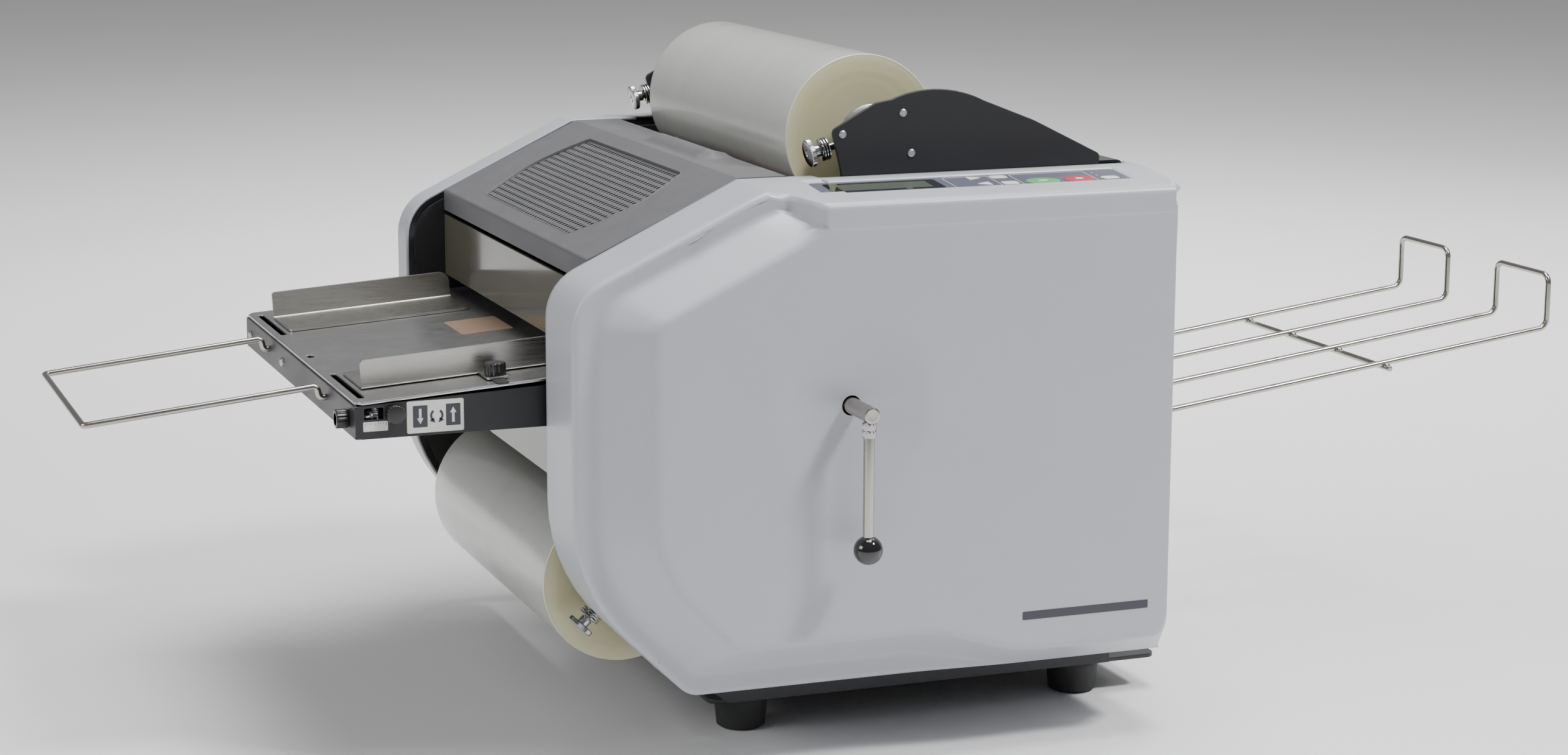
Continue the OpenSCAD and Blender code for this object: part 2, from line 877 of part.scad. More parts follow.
module top_cover() {
  color([0.35, 0.35, 0.38]) difference() {
    union() {
      lid_sheet();
      finger_pull();
      both_sides() {
        across(lid_half - 6, lid_half) polygon([
          [lid_front + 1, lid_bottom],
          [lid_front + 1, lid_fold[1] - 4],
          [lid_axis[0] + 7, lid_axis[1] + 9],
          [lid_axis[0] + 7, lid_bottom + 1]
        ]);
        rod_x(lid_axis[0], lid_axis[1], lid_pin_r, lid_half - 1, plate_out - 0.2);
      }
    }
    on_slope() grille();
    translate([pull_x[0] + 14, pull_y0 + 15, cover_top - 5]) cube([pull_x[1] - pull_x[0] - 28, 11, 20]);
  }
}

module front_shields() {
  color([0.3, 0.25, 0.2, 0.7]) {
    translate([-lid_half, shield_y, 300]) cube([2*lid_half, shield_t, 51.5]);
    translate([-lid_half, shield_y - 6, 196]) cube([2*lid_half, shield_t, tray_bottom - 198]);
  }
}

exit_t = 2;
inlet_pos = [150, 110];
rocker_tilt = 8;          // rest position: off

// Rear panel folded forward over the top behind the film roll
module exit_panel() {
  y = cover_rear - 5;
  color([0.12, 0.12, 0.13]) difference() {
    across(-plate_in + 0.2, plate_in - 0.2) polygon([
      [y - exit_t, 64],
      [y, 64],
      [y, cover_top - 2],
      [112, cover_top - 2],
      [112, cover_top - 2 - exit_t],
      [y - exit_t, cover_top - 2 - exit_t]
    ]);
    translate([-roller_half, y - 5, nip_z - 9]) cube([2*roller_half, 10, 18]);
    rack_sockets(wire_r + 0.5);
    translate([inlet_pos[0] - 14, y - 5, inlet_pos[1] - 24]) cube([28, 10, 48]);
  }
}

// ---- Feed tray ----

// Height of the tray's side walls
function tray_top(y) = deck_z - 3 + (y - tray_front)*0.048;

module feed_tray() {
  color([0.08, 0.08, 0.09]) difference() {
    across(-tray_half, tray_half) polygon([
      [tray_front, tray_bottom],
      [tray_front, tray_top(tray_front)],
      [tray_rear, tray_top(tray_rear)],
      [tray_rear, tray_bottom]
    ]);
    across(-tray_half + tray_wall, tray_half - tray_wall) polygon([
      [tray_front + tray_wall, tray_bottom + tray_wall],
      [tray_front + tray_wall, 300],
      [tray_rear + 1, 300],
      [tray_rear + 1, tray_bottom + tray_wall]
    ]);
    skew_axis() cylinder(h = 10, r = 2 + run, center = true);
    lift_axis() cylinder(h = 10, r = 2.5 + run, center = true);
    translate([tray_half - 5, -362, 264.5]) cube([10, 14, 8.5]);
    for (x = [-loop_half, loop_half])
      translate([x, tray_front, 264]) rotate([90, 0, 0]) cylinder(h = 10, r = wire_r, center = true);
  }
}

// Frames of the two adjusting knobs, z out of the tray
module skew_axis() { translate([172, tray_front, 262]) rotate([90, 0, 0]) children(); }
module lift_axis() { translate([tray_half, -340, 268]) rotate([0, 90, 0]) children(); }

// Frame on the deck: origin on its top at its front edge, y up the deck
module on_deck() {
  translate([0, deck_front, deck_z]) rotate([deck_tilt, 0, 0]) children();
}

function along(y) = (y - deck_front)/cos(deck_tilt);

module tray_deck() {
  len_deck = along(tray_rear);
  color("silver") difference() {
    union() {
      on_deck() translate([-tray_half, 0, -deck_t]) cube([tray_w, len_deck, deck_t]);
      both_sides() across(tray_half - 3, tray_half) polygon([
        [deck_front + 1, tray_top(deck_front + 1)],
        [deck_front + 1, deck_top(deck_front) - 1],
        [tray_rear, deck_top(tray_rear) - 1],
        [tray_rear, tray_top(tray_rear)]
      ]);
    }
    on_deck() {
      translate([-pad_half - gap, along(pad_front) - gap, -5]) cube([2*pad_half + 2*gap, 200, 10]);
      both_sides() translate([85, 4, -5]) cube([96, 5, 10]);
      translate([100, along(lock_y) - 3.5, -5]) cube([90, 7, 10]);
      translate([11, 0, -5]) cylinder(h = 10, r = 4);
    }
  }
}

module feed_pad() {
  color([0.45, 0.3, 0.2]) on_deck()
    translate([-pad_half, along(pad_front), -4]) cube([2*pad_half, along(tray_rear) - along(pad_front), 4]);
}

// Angle-shaped sheet guide: wall, flange on the deck and a hook in the deck's slot
module guide() {
  x = guide_gap/2;
  y0 = along(guide_start);
  y1 = along(guide_end);
  on_deck() {
    translate([x, 0, gap]) rotate([90, 0, 90]) linear_extrude(guide_t) polygon(
      rounded([[y0, 0], [y0, guide_h], [y1, guide_h], [y1, 0]], [0, 3, 9, 0]));
    translate([x - flange_w, y0, gap]) cube([flange_w + eps, y1 - y0, guide_t]);
    translate([x - 5, 5, gap]) cube([5, y0 - 5 + eps, guide_t]);
    translate([x - 5, 5, -5]) cube([5, 3, 6]);
  }
}

module left_guide() { color("silver") mirror([1, 0, 0]) guide(); }

// The right guide has a foot for the lock knob
module right_guide() {
  x = guide_gap/2;
  color("silver") {
    difference() {
      union() {
        guide();
        on_deck() translate([x, along(lock_y) - 9, gap]) cube([26, 18, guide_t]);
      }
      on_deck() translate([x + 16, along(lock_y), -6]) cylinder(h = 12, r = 2 + run);
    }
  }
}

module guide_lock_knob() {
  color([0.05, 0.05, 0.05]) on_deck() translate([guide_gap/2 + 16, along(lock_y), 0]) {
    translate([0, 0, gap + guide_t + gap]) cylinder(h = 9, r = 8);
    translate([0, 0, -4]) cylinder(h = 8, r = 2);
  }
}

module skew_knob() {
  color([0.06, 0.06, 0.06]) skew_axis() {
    translate([0, 0, 0.4]) cylinder(h = 9, r = 7);
    translate([0, 0, -10]) cylinder(h = 12, r = 2);
  }
}

module lift_knob() {
  color([0.06, 0.06, 0.06]) lift_axis() {
    translate([0, 0, 0.4]) cylinder(h = 6, r = 7);
    translate([0, 0, -10]) cylinder(h = 12, r = 2.5);
  }
}

// Wire loop that holds long sheets, hooked into the front of the tray
module feed_wire_loop() {
  half = [
    [loop_half, tray_front + 6, 264],
    [loop_half, tray_front - 5, 264],
    [loop_half, tray_front - 7, 272.5],
    [loop_half, loop_end, 255.3]
  ];
  other = [for (i = [3:-1:0]) [-half[i][0], half[i][1], half[i][2]]];
  color("silver") wire(bent(concat(half, other), 3.5), wire_r);
}

// One upturned loop of the output rack
module rack_loop(x0, x1) {
  top = rack_tip_z + rack_lip;
  wire(bent([
    [x0, rack_root, rack_root_z],
    [x0, rack_end, rack_tip_z],
    [x0, rack_end, top],
    [x1, rack_end, top],
    [x1, rack_end, rack_tip_z],
    [x1, rack_root, rack_root_z]
  ], 8), wire_r);
}

module output_rack() {
  cross_y = rack_end - 156;
  cross_z = rack_root_z + (cross_y - rack_root)*tan(rack_slope) - 2*wire_r + 0.5;
  color("silver") {
    rack_loop(rack_x[0], rack_x[1]);
    rack_loop(rack_x[2], rack_x[3]);
    rod_x(cross_y, cross_z, wire_r, rack_x[0] - 7, rack_x[3] + 7);
  }
}

// ---- Electrics ----

module control_board() {
  color([0.1, 0.35, 0.2]) {
    translate([-110, 80, base_top + 12]) cube([110, 140, 1.6]);
    for (x = [-106, -4], y = [84, 216]) translate([x, y, base_top]) cylinder(h = 12 + eps, r = 3);
    translate([-95, 95, base_top + 13.5]) cube([40, 35, 28]);
    translate([-45, 150, base_top + 13.5]) cube([30, 45, 12]);
  }
}

// Appliance inlet with its switch opening above
module mains_inlet() {
  y = cover_rear - 5;
  color([0.06, 0.06, 0.06]) difference() {
    union() {
      translate([inlet_pos[0] - 18, y, inlet_pos[1] - 28]) cube([36, 2.5, 56]);
      translate([inlet_pos[0] - 13.5, y - 22, inlet_pos[1] - 23.5]) cube([27, 22 + eps, 47]);
    }
    translate([inlet_pos[0] - 12, y - 16, inlet_pos[1] - 20]) cube([24, 20, 16.5]);
    translate([inlet_pos[0] - 10, y - 14, inlet_pos[1] + 3]) cube([20, 20, 14]);
    rocker_axis() cylinder(h = 24, r = 1 + run, center = true);
  }
}

module rocker_axis() {
  translate([inlet_pos[0], cover_rear - 7, inlet_pos[1] + 10]) rotate([0, 90, 0]) children();
}

// Rocker with a hollow face, on a cross pin
module power_rocker() {
  color([0.05, 0.05, 0.05]) {
    rocker_axis() cylinder(h = 23, r = 1, center = true);
    rocker_axis() rotate([0, 0, rocker_tilt]) translate([0, 0, -9.4]) linear_extrude(18.8)
      polygon([[-4, -3], [-5.8, 5.2], [0, 3.6], [5.8, 5.2], [4, -3]]);
  }
}

// Screw heads: on the roll brackets, the tray front and the slotted screw behind its window
module screw_head(r, h) {
  cylinder(h = h*0.6, r = r);
  translate([0, 0, h*0.6 - eps]) cylinder(h = h*0.4, r1 = r, r2 = r*0.7);
}

module fasteners() {
  ear_screws = [[-5, 457], [43, 471], [50, 441]];
  color("silver") {
    both_sides() {
      for (p = ear_screws) translate([ear_out, p[0], p[1]]) rotate([0, 90, 0]) screw_head(2.9, 1.2);
    }
    for (x = [-179, -54]) translate([x, tray_front, 262]) rotate([90, 0, 0]) screw_head(3, 2);
    translate([tray_half - 8, -355, tray_bottom + tray_wall]) cylinder(h = 14, r = 3);
    translate([tray_half - 8, -355, tray_bottom + tray_wall + 14]) screw_head(4, 3);
  }
}

// ---- Placement ----

module placed() {
  translate([-shift_x, -shift_y, 0]) children();
}

placed() base_plate();
placed() feet();
placed() side_plates();
placed() tie_bars();
placed() left_cover();
placed() right_cover();
placed() panel_overlay();
placed() display_window();
placed() roll_brackets();
placed() front_shields();
placed() exit_panel();
placed() feed_tray();
placed() tray_deck();
placed() feed_pad();
placed() feed_wire_loop();
placed() output_rack();
placed() drive_motor();
placed() control_board();
placed() mains_inlet();
placed() fasteners();
placed() brake_springs();
placed() top_cover();
placed() upper_film();
placed() upper_core();
placed() upper_mandrel();
placed() lower_film();
placed() lower_core();
placed() lower_mandrel();
placed() upper_nip_roller();
placed() upper_nip_shaft();
placed() upper_nip_gear();
placed() lower_nip_roller();
placed() lower_nip_shaft();
placed() lower_nip_gear();
placed() nip_blocks();
placed() upper_pull_roller();
placed() lower_pull_roller();
placed() motor_pinion();
placed() lever_shaft();
placed() lever_rod();
placed() lever_nuts();
placed() lever_ball();
placed() right_upper_knob();
placed() left_upper_knob();
placed() right_lower_knob();
placed() left_lower_knob();
placed() left_guide();
placed() right_guide();
placed() guide_lock_knob();
placed() skew_knob();
placed() lift_knob();
placed() feed_roller();
placed() start_key();
placed() stop_key();
placed() up_key();
placed() down_key();
placed() mode_key();
placed() select_key();
placed() jog_key();
placed() power_rocker();
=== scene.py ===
"""Looks of the desktop roll-film laminator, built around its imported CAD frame.

Shapes are laid out in millimetres from the machine's centre plane, floor and feed line,
as the CAD source has them, and place() puts them in the row frame in metres.
"""

import math

import bpy
import numpy as np
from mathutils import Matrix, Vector


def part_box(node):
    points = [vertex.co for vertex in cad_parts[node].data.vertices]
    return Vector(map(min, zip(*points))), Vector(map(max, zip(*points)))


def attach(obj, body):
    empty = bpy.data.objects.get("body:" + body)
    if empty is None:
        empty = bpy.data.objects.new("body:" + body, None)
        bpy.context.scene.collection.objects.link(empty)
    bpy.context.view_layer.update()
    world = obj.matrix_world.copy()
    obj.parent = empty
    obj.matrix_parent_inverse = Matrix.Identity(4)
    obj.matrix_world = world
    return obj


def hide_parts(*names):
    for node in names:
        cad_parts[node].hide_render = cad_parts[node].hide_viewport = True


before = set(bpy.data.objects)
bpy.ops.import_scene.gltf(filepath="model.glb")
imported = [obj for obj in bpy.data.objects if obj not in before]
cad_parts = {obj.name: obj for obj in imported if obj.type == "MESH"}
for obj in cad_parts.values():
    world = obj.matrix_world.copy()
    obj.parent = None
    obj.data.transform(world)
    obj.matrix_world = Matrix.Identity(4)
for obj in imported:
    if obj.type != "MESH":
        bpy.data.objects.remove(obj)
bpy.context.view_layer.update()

MM = 0.001
PLATE_OUT = 204.0          # outer face of the side plates
COVER_REAR = 237.0         # rear edge of the side covers
COVER_TOP = 426.0
COVER_BOTTOM = 58.0
COVER_FRONT = -229.5
VERTEX_Y = -83.0           # where the sloping front of the top begins
SLOPE = math.radians(25.4)
RIGHT_RIM, RIGHT_FACE = 271.0, 303.0
LEFT_RIM, LEFT_FACE = 237.0, 262.0
PANEL_START, PANEL_TILT = 233.0, math.radians(5.7)
LEVER_Y, LEVER_Z = -28.5, 271.3
DISH_R, DISH_DEPTH = 59.5, 7.0
EAR_IN, EAR_OUT = 213.0, 217.0
REAR_OUT = COVER_REAR - 5  # outer face of the rear panel
X, Y, Z = (1, 0, 0), (0, 1, 0), (0, 0, 1)

tray_low, tray_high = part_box("feed_tray")
rear_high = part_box("exit_panel")[1]
ORIGIN = np.array([(tray_low.x + tray_high.x) / 2, rear_high.y - (COVER_REAR - 5) * MM, 0.0])


def place(points):
    """Machine millimetres to row-frame metres."""
    return np.asarray(points, float) * MM + ORIGIN


# ---------------------------------------------------------------- node helpers


def link(tree, a, b):
    tree.links.new(a, b)


def math_node(tree, op, a, b=None, clamp=False):
    """Math node whose inputs are sockets or numbers; returns its output."""
    node = tree.nodes.new("ShaderNodeMath")
    node.operation = op
    node.use_clamp = clamp
    for socket, value in zip(node.inputs, (a, b)):
        if value is None:
            continue
        if isinstance(value, (int, float)):
            socket.default_value = value
        else:
            link(tree, value, socket)
    return node.outputs[0]


def ramp(tree, factor, stops):
    """Colour ramp from (position, colour) stops."""
    node = tree.nodes.new("ShaderNodeValToRGB")
    link(tree, factor, node.inputs["Fac"])
    while len(node.color_ramp.elements) < len(stops):
        node.color_ramp.elements.new(0.5)
    for element, (position, colour) in zip(node.color_ramp.elements, stops):
        element.position = position
        element.color = (*colour, 1) if len(colour) == 3 else colour
    return node.outputs["Color"]


def mix_colour(tree, factor, a, b, blend="MIX"):
    """Mix node for colours; each input is a socket or a constant."""
    node = tree.nodes.new("ShaderNodeMix")
    node.data_type = "RGBA"
    node.blend_type = blend
    for socket, value in ((node.inputs["Factor"], factor), (node.inputs["A"], a), (node.inputs["B"], b)):
        if isinstance(value, (int, float)):
            socket.default_value = value
        elif isinstance(value, tuple):
            socket.default_value = (*value, 1)
        else:
            link(tree, value, socket)
    return node.outputs["Result"]


def noise(tree, vector, scale, detail=3.0, rough=0.5):
    node = tree.nodes.new("ShaderNodeTexNoise")
    node.inputs["Scale"].default_value = scale
    node.inputs["Detail"].default_value = detail
    node.inputs["Roughness"].default_value = rough
    link(tree, vector, node.inputs["Vector"])
    return node.outputs["Fac"]


def object_coords(tree, stretch=None):
    """Object coordinates in metres, stretched per axis where a pattern runs one way."""
    coords = tree.nodes.new("ShaderNodeTexCoord").outputs["Object"]
    if stretch is None:
        return coords
    mapping = tree.nodes.new("ShaderNodeMapping")
    mapping.inputs["Scale"].default_value = stretch
    link(tree, coords, mapping.inputs["Vector"])
    return mapping.outputs["Vector"]


def new_group(name, inputs, outputs):
    """Shader node group; inputs are (name, kind, value) and outputs are (name, kind)."""
    tree = bpy.data.node_groups.new(name, "ShaderNodeTree")
    for label, kind, value in inputs:
        socket = tree.interface.new_socket(label, in_out="INPUT", socket_type=kind)
        socket.default_value = value
    for label, kind in outputs:
        tree.interface.new_socket(label, in_out="OUTPUT", socket_type=kind)
    return tree, tree.nodes.new("NodeGroupInput"), tree.nodes.new("NodeGroupOutput")


def build_moulded_group():
    """Fine spark-eroded grain of a moulding, with faint large blotches in colour and gloss."""
    tree, given, made = new_group(
        "moulded grain",
        [
            ("Color", "NodeSocketColor", (0.5, 0.5, 0.5, 1)),
            ("Grain Scale", "NodeSocketFloat", 1400.0),
            ("Grain Depth", "NodeSocketFloat", 0.15),
            ("Blotches", "NodeSocketFloat", 0.06),
            ("Roughness", "NodeSocketFloat", 0.4),
        ],
        [("Color", "NodeSocketColor"), ("Roughness", "NodeSocketFloat"), ("Normal", "NodeSocketVector")],
    )
    coords = object_coords(tree)
    grain = tree.nodes.new("ShaderNodeTexNoise")
    grain.inputs["Detail"].default_value = 4.0
    link(tree, coords, grain.inputs["Vector"])
    link(tree, given.outputs["Grain Scale"], grain.inputs["Scale"])
    blotch = noise(tree, coords, 9.0, 4.0, 0.6)
    centred = math_node(tree, "SUBTRACT", blotch, 0.5)
    shade = math_node(tree, "MULTIPLY", centred, given.outputs["Blotches"])
    speck = math_node(tree, "MULTIPLY", math_node(tree, "SUBTRACT", grain.outputs["Fac"], 0.5), 0.12)
    value = math_node(tree, "ADD", 1.0,
                      math_node(tree, "ADD", math_node(tree, "MULTIPLY", shade, 2.0), speck))
    hsv = tree.nodes.new("ShaderNodeHueSaturation")
    link(tree, given.outputs["Color"], hsv.inputs["Color"])
    link(tree, value, hsv.inputs["Value"])
    link(tree, hsv.outputs["Color"], made.inputs["Color"])
    rough = math_node(tree, "ADD", given.outputs["Roughness"], math_node(tree, "MULTIPLY", centred, 0.25))
    link(tree, rough, made.inputs["Roughness"])
    bump = tree.nodes.new("ShaderNodeBump")
    bump.inputs["Distance"].default_value = 0.0002
    link(tree, given.outputs["Grain Depth"], bump.inputs["Strength"])
    link(tree, grain.outputs["Fac"], bump.inputs["Height"])
    link(tree, bump.outputs["Normal"], made.inputs["Normal"])
    return tree


def build_brushed_group():
    """Brushed metal: noise drawn out along one axis gives streaks in colour, gloss and height."""
    tree, given, made = new_group(
        "brushed metal",
        [
            ("Color", "NodeSocketColor", (0.6, 0.6, 0.6, 1)),
            ("Stretch", "NodeSocketVector", (30, 900, 900)),
            ("Depth", "NodeSocketFloat", 0.2),
            ("Roughness", "NodeSocketFloat", 0.3),
        ],
        [("Color", "NodeSocketColor"), ("Roughness", "NodeSocketFloat"), ("Normal", "NodeSocketVector")],
    )
    scaled = tree.nodes.new("ShaderNodeVectorMath")
    scaled.operation = "MULTIPLY"
    link(tree, object_coords(tree), scaled.inputs[0])
    link(tree, given.outputs["Stretch"], scaled.inputs[1])
    streak = noise(tree, scaled.outputs["Vector"], 1.0, 5.0, 0.65)
    cloud = noise(tree, object_coords(tree), 14.0, 3.0)
    centred = math_node(tree, "SUBTRACT", streak, 0.5)
    cloudy = math_node(tree, "MULTIPLY", math_node(tree, "SUBTRACT", cloud, 0.5), 0.25)
    value = math_node(tree, "ADD", 1.0,
                      math_node(tree, "ADD", math_node(tree, "MULTIPLY", centred, 0.5), cloudy))
    hsv = tree.nodes.new("ShaderNodeHueSaturation")
    link(tree, given.outputs["Color"], hsv.inputs["Color"])
    link(tree, value, hsv.inputs["Value"])
    link(tree, hsv.outputs["Color"], made.inputs["Color"])
    rough = math_node(tree, "ADD", given.outputs["Roughness"], math_node(tree, "MULTIPLY", centred, 0.3))
    link(tree, rough, made.inputs["Roughness"])
    bump = tree.nodes.new("ShaderNodeBump")
    bump.inputs["Distance"].default_value = 0.0001
    link(tree, given.outputs["Depth"], bump.inputs["Strength"])
    link(tree, streak, bump.inputs["Height"])
    link(tree, bump.outputs["Normal"], made.inputs["Normal"])
    return tree


def build_dust_group():
    """Mask of settled dust: strongest on faces that look up, broken up by noise."""
    tree, given, made = new_group(
        "settled dust", [("Amount", "NodeSocketFloat", 0.2)], [("Mask", "NodeSocketFloat")]
    )
    normal = tree.nodes.new("ShaderNodeNewGeometry").outputs["Normal"]
    split = tree.nodes.new("ShaderNodeSeparateXYZ")
    link(tree, normal, split.inputs[0])
    up = math_node(tree, "POWER", math_node(tree, "MAXIMUM", split.outputs["Z"], 0.0), 3.0)
    broken = noise(tree, object_coords(tree), 60.0, 6.0, 0.7)
    spots = math_node(tree, "MULTIPLY", up, math_node(tree, "MULTIPLY", broken, given.outputs["Amount"]))
    link(tree, math_node(tree, "MINIMUM", spots, 1.0), made.inputs["Mask"])
    return tree


MOULDED = build_moulded_group()
BRUSHED = build_brushed_group()
DUST = build_dust_group()
DUST_COLOUR = (0.55, 0.54, 0.52)


def new_material(name, **settings):
    """Material with one Principled shader; settings are its constant inputs."""
    material = bpy.data.materials.new(name)
    material.use_nodes = True
    tree = material.node_tree
    tree.nodes.clear()
    out = tree.nodes.new("ShaderNodeOutputMaterial")
    shader = tree.nodes.new("ShaderNodeBsdfPrincipled")
    link(tree, shader.outputs["BSDF"], out.inputs["Surface"])
    for key, value in settings.items():
        shader.inputs[key.replace("_", " ")].default_value = value
    return material, tree, shader


def place_group(tree, group, **values):
    node = tree.nodes.new("ShaderNodeGroup")
    node.node_tree = group
    for key, value in values.items():
        socket = node.inputs[key.replace("_", " ")]
        socket.default_value = (*value, 1) if key == "Color" else value
    return node


def feed_shader(tree, node, shader, dust=0.0):
    """Joins a surface group to the shader, with dust over its colour where asked."""
    colour = node.outputs["Color"]
    if dust:
        mask = place_group(tree, DUST, Amount=dust).outputs["Mask"]
        colour = mix_colour(tree, mask, colour, DUST_COLOUR)
    link(tree, colour, shader.inputs["Base Color"])
    link(tree, node.outputs["Roughness"], shader.inputs["Roughness"])
    link(tree, node.outputs["Normal"], shader.inputs["Normal"])


def moulded(name, colour, rough, scale=1400.0, depth=0.15, blotches=0.06, dust=0.0, **settings):
    """Plastic, paint or rubber with a moulded or sprayed grain."""
    material, tree, shader = new_material(name, **settings)
    node = place_group(
        tree, MOULDED, Color=colour, Grain_Scale=scale, Grain_Depth=depth, Blotches=blotches, Roughness=rough
    )
    feed_shader(tree, node, shader, dust)
    return material


def brushed(name, colour, rough, stretch, depth=0.2, dust=0.0, **settings):
    """Bare metal with drawn or brushed streaks along the axis of least stretch."""
    material, tree, shader = new_material(name, Metallic=1.0, **settings)
    node = place_group(tree, BRUSHED, Color=colour, Stretch=stretch, Depth=depth, Roughness=rough)
    feed_shader(tree, node, shader, dust)
    return material


def film_end(name):
    """End of a wound roll: fine rings about the roll's axis, as bands of colour and height, and a painted
    reflection that greys the face towards the core.
    """
    material, tree, shader = new_material(name, Coat_Weight=0.3, Coat_Roughness=0.2)
    radius = tree.nodes.new("ShaderNodeAttribute")
    radius.attribute_name = "roll_radius"
    rings = tree.nodes.new("ShaderNodeTexNoise")
    rings.noise_dimensions = "1D"
    rings.inputs["Scale"].default_value = 1.0
    rings.inputs["Detail"].default_value = 4.0
    link(tree, math_node(tree, "MULTIPLY", radius.outputs["Fac"], 2200.0), rings.inputs["W"])
    colour = ramp(tree, rings.outputs["Fac"], [(0.3, (0.72, 0.69, 0.45)), (0.7, (0.82, 0.79, 0.56))])
    # Painted reflection: the end face is greyed from the rim towards the core, a colour standing in for the
    # reflection seen there.
    inner = math_node(tree, "SUBTRACT", radius.outputs["Fac"], 0.015)
    inner = math_node(tree, "MULTIPLY", inner, 21.0, clamp=True)
    depth = ramp(tree, inner, [(0.0, (0.62, 0.62, 0.60)), (0.75, (0.80, 0.79, 0.68)), (1.0, (1, 1, 1))])
    colour = mix_colour(tree, 1.0, colour, depth, "MULTIPLY")
    link(tree, colour, shader.inputs["Base Color"])
    link(tree, math_node(tree, "ADD", math_node(tree, "MULTIPLY", rings.outputs["Fac"], 0.25), 0.22),
         shader.inputs["Roughness"])
    bump = tree.nodes.new("ShaderNodeBump")
    bump.inputs["Strength"].default_value = 0.35
    bump.inputs["Distance"].default_value = 0.0002
    link(tree, rings.outputs["Fac"], bump.inputs["Height"])
    link(tree, bump.outputs["Normal"], shader.inputs["Normal"])
    return material


def film_wrap(name):
    """Outside of a wound roll: milky film with long tension bands round the roll and soft dents."""
    material, tree, shader = new_material(
        name, Coat_Weight=0.55, Coat_Roughness=0.08, Subsurface_Weight=0.12, Subsurface_Scale=0.01
    )
    bands = noise(tree, object_coords(tree, (40, 2.0, 2.0)), 1.0, 4.0, 0.6)
    dents = noise(tree, object_coords(tree, (2.5, 14, 14)), 1.0, 2.0, 0.5)
    colour = ramp(tree, bands, [(0.3, (0.49, 0.50, 0.47)), (0.7, (0.52, 0.53, 0.50))])
    link(tree, colour, shader.inputs["Base Color"])
    rough = math_node(tree, "ADD", math_node(tree, "MULTIPLY", bands, 0.06), 0.22)
    link(tree, rough, shader.inputs["Roughness"])
    height = math_node(tree, "ADD", math_node(tree, "MULTIPLY", bands, 0.02), dents)
    bump = tree.nodes.new("ShaderNodeBump")
    bump.inputs["Strength"].default_value = 0.12
    bump.inputs["Distance"].default_value = 0.002
    link(tree, height, bump.inputs["Height"])
    link(tree, bump.outputs["Normal"], shader.inputs["Normal"])
    return material


SILVER_PLASTIC = moulded(
    "silver grey plastic", (0.44, 0.45, 0.49), 0.36, 1500, 0.10, 0.03, 0.06, Coat_Weight=0.15,
    Coat_Roughness=0.3
)
LID_PLASTIC = moulded("dark grey lid", (0.105, 0.105, 0.112), 0.48, 700, 0.45, 0.08, 0.12)
BLACK_PAINT = moulded("black sprayed steel", (0.016, 0.016, 0.019), 0.42, 900, 0.35, 0.10, 0.12)
BLACK_RUBBER = moulded("black rubber", (0.02, 0.02, 0.021), 0.6, 600, 0.4, 0.12, 0.15)
BLACK_GLOSS = moulded("black phenolic", (0.006, 0.006, 0.007), 0.09, 300, 0.02, 0.05, Coat_Weight=0.7,
                      Coat_Roughness=0.04)
DECK_STEEL = brushed("brushed deck steel", (0.60, 0.60, 0.60), 0.34, (1100, 18, 1100), 0.35)
GUIDE_STEEL = brushed("brushed guide steel", (0.56, 0.55, 0.52), 0.30, (1500, 25, 1500), 0.3)
WIRE_CHROME = brushed("drawn bright wire", (0.46, 0.44, 0.40), 0.2, (500, 60, 500), 0.12)
LEVER_STEEL = brushed("turned bright steel", (0.47, 0.45, 0.41), 0.24, (900, 900, 60), 0.15)
KNOB_STEEL = brushed("turned knob steel", (0.46, 0.46, 0.47), 0.14, (700, 200, 200), 0.15)
PLAIN_STEEL = brushed("zinc plated steel", (0.50, 0.51, 0.52), 0.36, (60, 600, 600), 0.25)
SHIELD = moulded("smoked sheet", (0.10, 0.095, 0.07), 0.14, 40, 0.02, 0.05, 0.0, Coat_Weight=0.35,
                 Coat_Roughness=0.05)
RED_RUBBER = moulded("red silicone rubber", (0.42, 0.09, 0.05), 0.5, 900, 0.2, 0.1)
PAD_BROWN = moulded("cork rubber pad", (0.28, 0.19, 0.13), 0.75, 420, 0.8, 0.3)
CARDBOARD = moulded("wound cardboard", (0.42, 0.31, 0.19), 0.85, 500, 0.6, 0.25)
GEAR_PLASTIC = moulded("natural acetal", (0.74, 0.72, 0.62), 0.35, 600, 0.1, 0.05)
BRASS = brushed("cut brass", (0.72, 0.52, 0.22), 0.25, (400, 400, 400), 0.2)
MOTOR_PAINT = moulded("grey enamel", (0.10, 0.10, 0.11), 0.35, 500, 0.2, 0.1)
BOARD_GREEN = moulded("circuit board", (0.015, 0.09, 0.035), 0.3, 250, 0.5, 0.4, Coat_Weight=0.4)
PANEL_FILM = moulded("printed panel film", (0.085, 0.09, 0.125), 0.38, 1800, 0.2, 0.05, 0.05)
SCREEN_GLASS = moulded("display glass", (0.025, 0.03, 0.03), 0.06, 60, 0.01, 0.1, Coat_Weight=1.0,
                       Coat_Roughness=0.02)
SCREEN_CELLS = moulded("display cells", (0.07, 0.08, 0.07), 0.3, 200, 0.05, 0.1)
KEY_WHITE = moulded("white key print", (0.62, 0.62, 0.60), 0.4, 1500, 0.1, 0.05)
KEY_GREEN = moulded("green key print", (0.10, 0.36, 0.11), 0.38, 1500, 0.1, 0.06)
KEY_RED = moulded("red key print", (0.42, 0.03, 0.07), 0.38, 1500, 0.1, 0.06)
LABEL_WHITE = moulded("white label print", (0.70, 0.70, 0.66), 0.45, 900, 0.1, 0.06)
LABEL_DARK = moulded("dark label print", (0.045, 0.045, 0.06), 0.4, 900, 0.1, 0.08)
BLACK_PLASTIC = moulded("black knob plastic", (0.014, 0.014, 0.015), 0.3, 800, 0.2, 0.08, 0.08,
                        Coat_Weight=0.2)
BLACK_SCREW = brushed("blackened screw", (0.10, 0.10, 0.11), 0.3, (600, 300, 600), 0.2)
